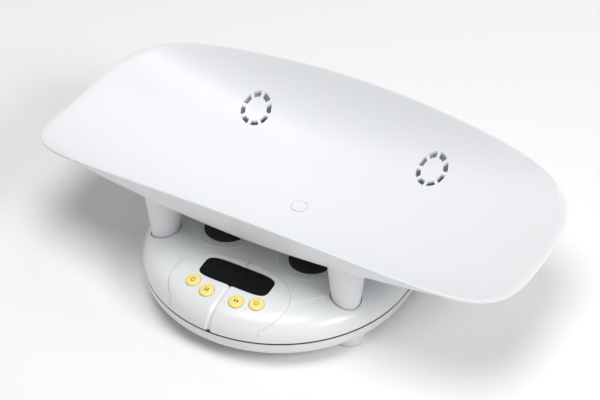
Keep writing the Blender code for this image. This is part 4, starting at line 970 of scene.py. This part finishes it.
def addPatch(bm, points, cuts=3):
    face = bm.faces.new([bm.verts.new((x, y, 0)) for x, y in points])
    bmesh.ops.subdivide_edges(bm, edges=list(face.edges), cuts=cuts, use_grid_fill=True)


def markSheet(name):
    s = signShape
    bm = bmesh.new()
    if name == "zero_button":
        addRing(bm, *s["ring"], 0, fullTurn, stretch=s["ringStretch"])
    if name == "hold_button":
        half = s["barHalf"]
        for left, right in s["bars"]:
            addPatch(bm, [(left, -half), (right, -half), (right, half), (left, half)])
    if name == "unit_button":
        near, far = s["arrow"]
        for side in (-1, 1):
            points = [(side * near, -s["arrowHalf"]), (side * far, 0), (side * near, s["arrowHalf"])]
            addPatch(bm, points[::side], cuts=0)
    if name == "power_button":
        addRing(bm, *s["arc"], s["arcStart"], s["arcTurn"])
        half, (low, high) = s["strokeHalf"], s["stroke"]
        addPatch(bm, [(-half, low), (half, low), (half, high), (-half, high)])
    return bm


def makeButtons():
    p, k = panelShape, buttonShape
    dome = [
        (k["radius"] * math.sin(math.pi / 2 * i / k["domeSteps"]),
         domeHeight(k["radius"] * math.sin(math.pi / 2 * i / k["domeSteps"])))
        for i in range(k["domeSteps"] + 1)
    ]
    seat = -p["wall"] - air
    path = dome + [
        (k["radius"], seat), (k["flangeRadius"], seat), (k["flangeRadius"], seat - k["flangeThickness"]),
        (k["stemRadius"], seat - k["flangeThickness"]),
        (k["stemRadius"], seat - k["flangeThickness"] - k["stemLength"]),
        (0, seat - k["flangeThickness"] - k["stemLength"]),
    ]
    path = rounded(path, {k["domeSteps"]: k["edgeRound"]}, 3)
    for name in k["places"]:
        bm = bmesh.new()
        addTurned(bm, path, k["segments"], buttonMatrix(name))
        dress(pieceFrom(bm, name + "Cap"), capYellow, name, "yellow_plastic", name)
        bm = markSheet(name)
        for vert in bm.verts:
            vert.co.z = domeHeight(vert.co.xy.length) + signShape["lift"]
        bmesh.ops.recalc_face_normals(bm, faces=bm.faces)
        raised = bmesh.ops.extrude_face_region(bm, geom=bm.faces[:])["geom"]
        low = [item for item in raised if isinstance(item, bmesh.types.BMVert)]
        bmesh.ops.translate(bm, verts=low, vec=(0, 0, -signShape["thickness"]))
        bm.transform(buttonMatrix(name))
        dress(pieceFrom(bm, name + "Mark"), markInk, name, "black_plastic")
    print("buttons made")


# Lower housing: the shallow pan below the seam, with the battery's compartment and the screws' counterbores
panShape = {
    "bottom": 11.5 * mm,
    "wall": 3 * mm,
    "sidePoints": ((144.7, 22.0), (139.7, 14.5), (133.85, 12.25), (128, 11.5)),
    "sideSteps": 5,
    "innerFlat": 125 * mm,
    "innerTurn": (136.7 * mm, 17.5 * mm),
    "innerHigh": 22 * mm,
    "lipOuter": 142 * mm,
    "lipInner": 140.2 * mm,
    "lipHigh": 34.0 * mm,
    "screws": ((-84, -130), (84, -130), (130, 0), (84, 130), (-84, 130), (-130, 0)),
    "screwHole": 1.9 * mm,
    "headRoom": 3.9 * mm,
    "headDepth": 6 * mm,
    "bossRadius": 5.6 * mm,
    "bossHigh": 34 * mm,
    "footPlace": (111 * mm, 89.5 * mm),
    "stemHole": 6 * mm,
    "wellHalf": (28.75 * mm, 15.75 * mm),
    "wellY": 55 * mm,
    "wellRoof": 32.1 * mm,
    "wellWall": 1.8 * mm,
    "ledge": 3 * mm,
    "ledgeHigh": 14.3 * mm,
    "frame": 4.5 * mm,
    "frameHigh": 17.5 * mm,
    "grip": 7 * mm,
    "doorLow": 11.6 * mm,
    "doorThickness": 2.4 * mm,
    "doorRoom": 0.4 * mm,
    "labelHalf": (34 * mm, 20 * mm),
    "labelY": -20 * mm,
    "labelDepth": 0.4 * mm,
}


def wellBox(grow, low, high):
    s = panShape
    x, y = s["wellHalf"][0] + grow, s["wellHalf"][1] + grow
    return (-x, s["wellY"] - y, low), (x, s["wellY"] + y, high)


def screwPlaces():
    return [(x * mm, y * mm) for x, y in panShape["screws"]]


def makePan():
    b, s = baseShape, panShape
    side = [(radius * mm, height * mm) for radius, height in s["sidePoints"]]
    side = smoothLine([(b["radius"], b["seamLow"])] + side, s["sideSteps"])
    floor = s["bottom"] + s["wall"]
    inner = [
        (0, floor), (s["innerFlat"], floor), s["innerTurn"], (s["lipInner"], s["innerHigh"]),
        (s["lipInner"], s["lipHigh"]), (s["lipOuter"], s["lipHigh"]), (s["lipOuter"], b["seamLow"]),
    ]
    bm = bmesh.new()
    addOval(bm, inner + side + [(0, s["bottom"])], b["straight"], b["arcSteps"])
    pan = pieceFrom(bm, "lowerPan")
    middle = s["bottom"] + s["wall"] / 2
    bm = bmesh.new()
    for place in screwPlaces():
        addCylinder(bm, s["bossRadius"], middle, s["bossHigh"], place)
    carve(pan, pieceFrom(bm, "bosses"), "UNION")
    bm = bmesh.new()
    addBox(bm, *wellBox(s["ledge"] + s["frame"], middle, s["frameHigh"]))
    carve(pan, pieceFrom(bm, "doorFrame"), "UNION")
    bm = bmesh.new()
    addBox(bm, *wellBox(s["wellWall"], floor, s["wellRoof"] + s["wellWall"]))
    carve(pan, pieceFrom(bm, "wellWalls"), "UNION")
    low = s["bottom"] - overrun
    bm = bmesh.new()
    for place in screwPlaces():
        addCylinder(bm, s["screwHole"], low, s["bossHigh"] + overrun, place)
    for place in fourPlaces(*s["footPlace"]).values():
        addCylinder(bm, s["stemHole"], low, floor + embed, place)
    carve(pan, pieceFrom(bm, "holes"))
    bm = bmesh.new()
    for place in screwPlaces():
        addCylinder(bm, s["headRoom"], low, s["bottom"] + s["headDepth"], place)
    carve(pan, pieceFrom(bm, "counterbores"))
    bm = bmesh.new()
    addBox(bm, *wellBox(0, low, s["wellRoof"]))
    carve(pan, pieceFrom(bm, "wellRoom"))
    bm = bmesh.new()
    addBox(bm, *wellBox(s["ledge"], low, s["ledgeHigh"]))
    carve(pan, pieceFrom(bm, "doorRecess"))
    bm = bmesh.new()
    high = wellBox(s["ledge"], 0, 0)[1]
    addCylinder(bm, s["grip"], low, s["bottom"] + s["doorThickness"] / 2, (0, high[1]))
    carve(pan, pieceFrom(bm, "gripScoop"))
    bm = bmesh.new()
    x, y = s["labelHalf"]
    addBox(bm, (-x, s["labelY"] - y, low), (x, s["labelY"] + y, s["bottom"] + s["labelDepth"]))
    carve(pan, pieceFrom(bm, "bareLabelPlace"))
    dress(pan, panWhite, "base", "white_plastic", "lower_housing")
    print("pan made", len(pan.data.polygons))


doorShape = {
    "beadShare": 0.999,
    "beadSegments": 32,
    "pinRadius": 0.7 * mm,
    "pinReach": 2 * mm,
    "pinSegments": 24,
    "catchHalf": 7 * mm,
    "catchThickness": 1.4 * mm,
    "catchRise": 4 * mm,
    "grooves": 6,
    "grooveStart": 4 * mm,
    "groovePitch": 2.2 * mm,
    "grooveHalf": 9 * mm,
    "grooveWidth": 1 * mm,
    "grooveDepth": 0.5 * mm,
}


def makeDoor():
    s, d = panShape, doorShape
    low, high = wellBox(s["ledge"] - s["doorRoom"], s["doorLow"], s["doorLow"] + s["doorThickness"])
    bead = s["doorThickness"] / 2
    axisY, axisZ = low[1] + bead, s["doorLow"] + bead
    along = Matrix.Translation((0, axisY, axisZ)) @ Matrix.Rotation(math.pi / 2, 4, "Y")
    bm = bmesh.new()
    addBox(bm, (low[0], axisY, low[2]), high)
    door = pieceFrom(bm, "doorPlate")
    bm = bmesh.new()
    share = d["beadShare"]
    addCylinder(
        bm, bead * share, -high[0] * share, high[0] * share, matrix=along, segments=d["beadSegments"],
    )
    carve(door, pieceFrom(bm, "bead"), "UNION")
    bm = bmesh.new()
    reach = high[0] + s["doorRoom"] + d["pinReach"]
    addCylinder(bm, d["pinRadius"], -reach, reach, matrix=along, segments=d["pinSegments"])
    carve(door, pieceFrom(bm, "pins"), "UNION")
    bm = bmesh.new()
    catchY = wellBox(0, 0, 0)[1][1] - s["doorRoom"] - air
    addBox(
        bm, (-d["catchHalf"], catchY - d["catchThickness"], high[2] - embed),
        (d["catchHalf"], catchY, high[2] + d["catchRise"]),
    )
    carve(door, pieceFrom(bm, "catch"), "UNION")
    bm = bmesh.new()
    for i in range(d["grooves"]):
        y = high[1] - d["grooveStart"] - d["groovePitch"] * i
        addBox(
            bm, (-d["grooveHalf"], y, low[2] - embed),
            (d["grooveHalf"], y + d["grooveWidth"], low[2] + d["grooveDepth"]),
        )
    carve(door, pieceFrom(bm, "fingerGrooves"))
    dress(door, panWhite, "battery_door", "white_plastic", "battery_door")
    print("door made")


# Feet with rubber pads, and screws with crossed slots
footShape = {
    "radius": 15.4 * mm,
    "low": 0.8 * mm,
    "high": 11.2 * mm,
    "edge": 1.4 * mm,
    "stemRadius": 4.8 * mm,
    "stemHigh": 19.7 * mm,
    "cupRound": 0.6 * mm,
    "padRadius": 12.2 * mm,
    "padHigh": 1.7 * mm,
    "padRound": 0.5 * mm,
    "ridge": 0.6 * mm,
    "ridgeSteps": ((9.6, 9.2), (7.6, 7.2), (4.6, 4.2), (2.6, 2.2)),
    "segments": 72,
}
screwShape = {
    "length": 30.3 * mm,
    "point": 1.4 * mm,
    "shankRadius": 1.4 * mm,
    "headRadius": 3.4 * mm,
    "headHigh": 2.2 * mm,
    "headRound": 1.2 * mm,
    "slotHalf": 2 * mm,
    "slotHalfWidth": 0.4 * mm,
    "slotDepth": 1.2 * mm,
    "segments": 40,
}


def makeFeet():
    f, s = footShape, panShape
    seat = f["padHigh"] + air
    path = [
        (0, f["stemHigh"]), (f["stemRadius"], f["stemHigh"]), (f["stemRadius"], f["high"]),
        (f["radius"], f["high"]), (f["radius"], f["low"]), (f["padRadius"] + air, f["low"]),
        (f["padRadius"] + air, seat), (0, seat),
    ]
    path = rounded(path, {3: f["cupRound"], 4: f["edge"]}, 5)
    pad = [(0, f["padHigh"]), (f["padRadius"], f["padHigh"]), (f["padRadius"], 0)]
    before, after = 0, f["ridge"]
    for outer, inner in f["ridgeSteps"]:
        pad += [(outer * mm, before), (inner * mm, after)]
        before, after = after, before
    pad = rounded(pad + [(0, 0)], {2: f["padRound"]}, 4)
    for side, (x, y) in fourPlaces(*s["footPlace"]).items():
        at = Matrix.Translation((x, y, 0))
        bm = bmesh.new()
        addTurned(bm, path, f["segments"], at)
        dress(pieceFrom(bm, "footCup_" + side), panWhite, "base", "white_plastic", "foot_" + side)
        bm = bmesh.new()
        addTurned(bm, pad, f["segments"], at)
        dress(pieceFrom(bm, "footSole_" + side), padRubber, "base", "grey_rubber", "foot_pad_" + side)
    print("feet made")


def makeScrews():
    s, w = panShape, screwShape
    seat = s["bottom"] + s["headDepth"] - air
    tip, face = seat + w["length"], seat - w["headHigh"]
    path = [
        (0, tip), (w["shankRadius"], tip - w["point"]), (w["shankRadius"], seat), (w["headRadius"], seat),
        (w["headRadius"], face), (0, face),
    ]
    path = rounded(path, {4: w["headRound"]}, 5)
    for number, (x, y) in enumerate(screwPlaces(), 1):
        bm = bmesh.new()
        addTurned(bm, path, w["segments"], Matrix.Translation((x, y, 0)))
        screw = pieceFrom(bm, f"screw_{number}")
        halves = (w["slotHalf"], w["slotHalfWidth"])
        for label, (halfX, halfY) in (("slotAcross", halves), ("slotAlong", halves[::-1])):
            bm = bmesh.new()
            addBox(
                bm, (x - halfX, y - halfY, face - embed), (x + halfX, y + halfY, face + w["slotDepth"]),
            )
            carve(screw, pieceFrom(bm, label))
        dress(screw, platedSteel, "base", "steel", f"housing_screw_{number}")
    print("screws made")


makeTray()
makeCover()
makeMats()
makeSeamShadeRing()
makePanel()
makeButtons()
makePan()
makeDoor()
makeFeet()
makeScrews()

# The pieces that stay as the CAD gives them
keptFinishes = {
    "display_module": displayGrey, "button_board": boardLacquer, "main_board": boardLacquer,
    "zero_switch": blackPlastic, "hold_switch": blackPlastic, "unit_switch": blackPlastic,
    "power_switch": blackPlastic, "battery": batteryWrap, "battery_snap": blackPlastic,
    "load_cell_front_left": platedSteel, "load_cell_front_right": platedSteel,
    "load_cell_rear_left": platedSteel, "load_cell_rear_right": platedSteel,
}
for name, finish in keptFinishes.items():
    nodes[name].data.materials.clear()
    nodes[name].data.materials.append(finish)


# Floor, light and camera
stageShape = {
    "floorRadius": 9.0,
    "floorSegments": 96,
    "floorColour": (0.96, 0.96, 0.955),
    "floorRoughness": 0.75,
    "floorGloss": 0.2,
    "skyStrength": 0.26,
    "lampSets": {
        "overhead": {"place": (0, -0.5, 3.1), "aim": (0, 0, 0.08), "size": 2.0, "power": 48},
        "sideKey": {"place": (2.6, -0.5, 1.95), "aim": (0, 0, 0.08), "size": 1.3, "power": 41},
        "backFill": {"place": (-0.2, 1.7, 2.5), "aim": (-0.1, 0.3, 0), "size": 1.5, "power": 8},
    },
}
cameraShape = {
    "place": (0.91322, -1.5612, 1.5222),
    "right": (0.86448, 0.50266, -0.00276),
    "up": (-0.31232, 0.54142, 0.78059),
    "sensor": 36,
    "lens": 132.08,
    "clipEnd": 60,
}


def makeStage():
    s = stageShape
    bm = bmesh.new()
    bmesh.ops.create_circle(bm, cap_ends=True, segments=s["floorSegments"], radius=s["floorRadius"])
    floor = pieceFrom(bm, "floor")
    material = bpy.data.materials.new("paleFloor")
    material.use_nodes = True
    shader = material.node_tree.nodes["Principled BSDF"]
    shader.inputs["Base Color"].default_value = (*s["floorColour"], 1)
    shader.inputs["Roughness"].default_value = s["floorRoughness"]
    shader.inputs["Specular IOR Level"].default_value = s["floorGloss"]
    floor.data.materials.append(material)

    world = bpy.data.worlds.new("studio")
    bpy.context.scene.world = world
    world.use_nodes = True
    tree = world.node_tree
    sky = tree.nodes["Background"]
    path = tree.nodes.new("ShaderNodeLightPath")
    strength = tree.nodes.new("ShaderNodeMapRange")
    strength.inputs["To Min"].default_value = s["skyStrength"]
    strength.inputs["To Max"].default_value = 1.0
    seen = path.outputs["Is Camera Ray"]
    for other in ("Is Glossy Ray", "Is Transmission Ray"):
        either = tree.nodes.new("ShaderNodeMath")
        either.operation = "MAXIMUM"
        tree.links.new(seen, either.inputs[0])
        tree.links.new(path.outputs[other], either.inputs[1])
        seen = either.outputs["Value"]
    tree.links.new(seen, strength.inputs["Value"])
    tree.links.new(strength.outputs["Result"], sky.inputs["Strength"])
    sky.inputs["Color"].default_value = (1, 1, 1, 1)

    for name, lamp in s["lampSets"].items():
        light = bpy.data.lights.new(name, "AREA")
        light.shape = "DISK"
        light.size = lamp["size"]
        light.energy = lamp["power"]
        holder = bpy.data.objects.new(name, light)
        bpy.context.scene.collection.objects.link(holder)
        place = Vector(lamp["place"])
        away = (place - Vector(lamp["aim"])).to_track_quat("Z", "Y").to_matrix().to_4x4()
        holder.matrix_world = Matrix.Translation(place) @ away
    print("stage made")


def makeCamera():
    c = cameraShape
    right, up = Vector(c["right"]), Vector(c["up"])
    back = right.cross(up)
    turn = Matrix((right, up, back)).transposed().to_4x4()
    lens = bpy.data.cameras.new("photoCamera")
    lens.sensor_width = c["sensor"]
    lens.lens = c["lens"]
    lens.clip_end = c["clipEnd"]
    camera = bpy.data.objects.new("photoCamera", lens)
    bpy.context.scene.collection.objects.link(camera)
    camera.matrix_world = Matrix.Translation(c["place"]) @ turn
    bpy.context.scene.camera = camera


makeStage()
makeCamera()
bpy.context.scene.view_settings.view_transform = "Standard"
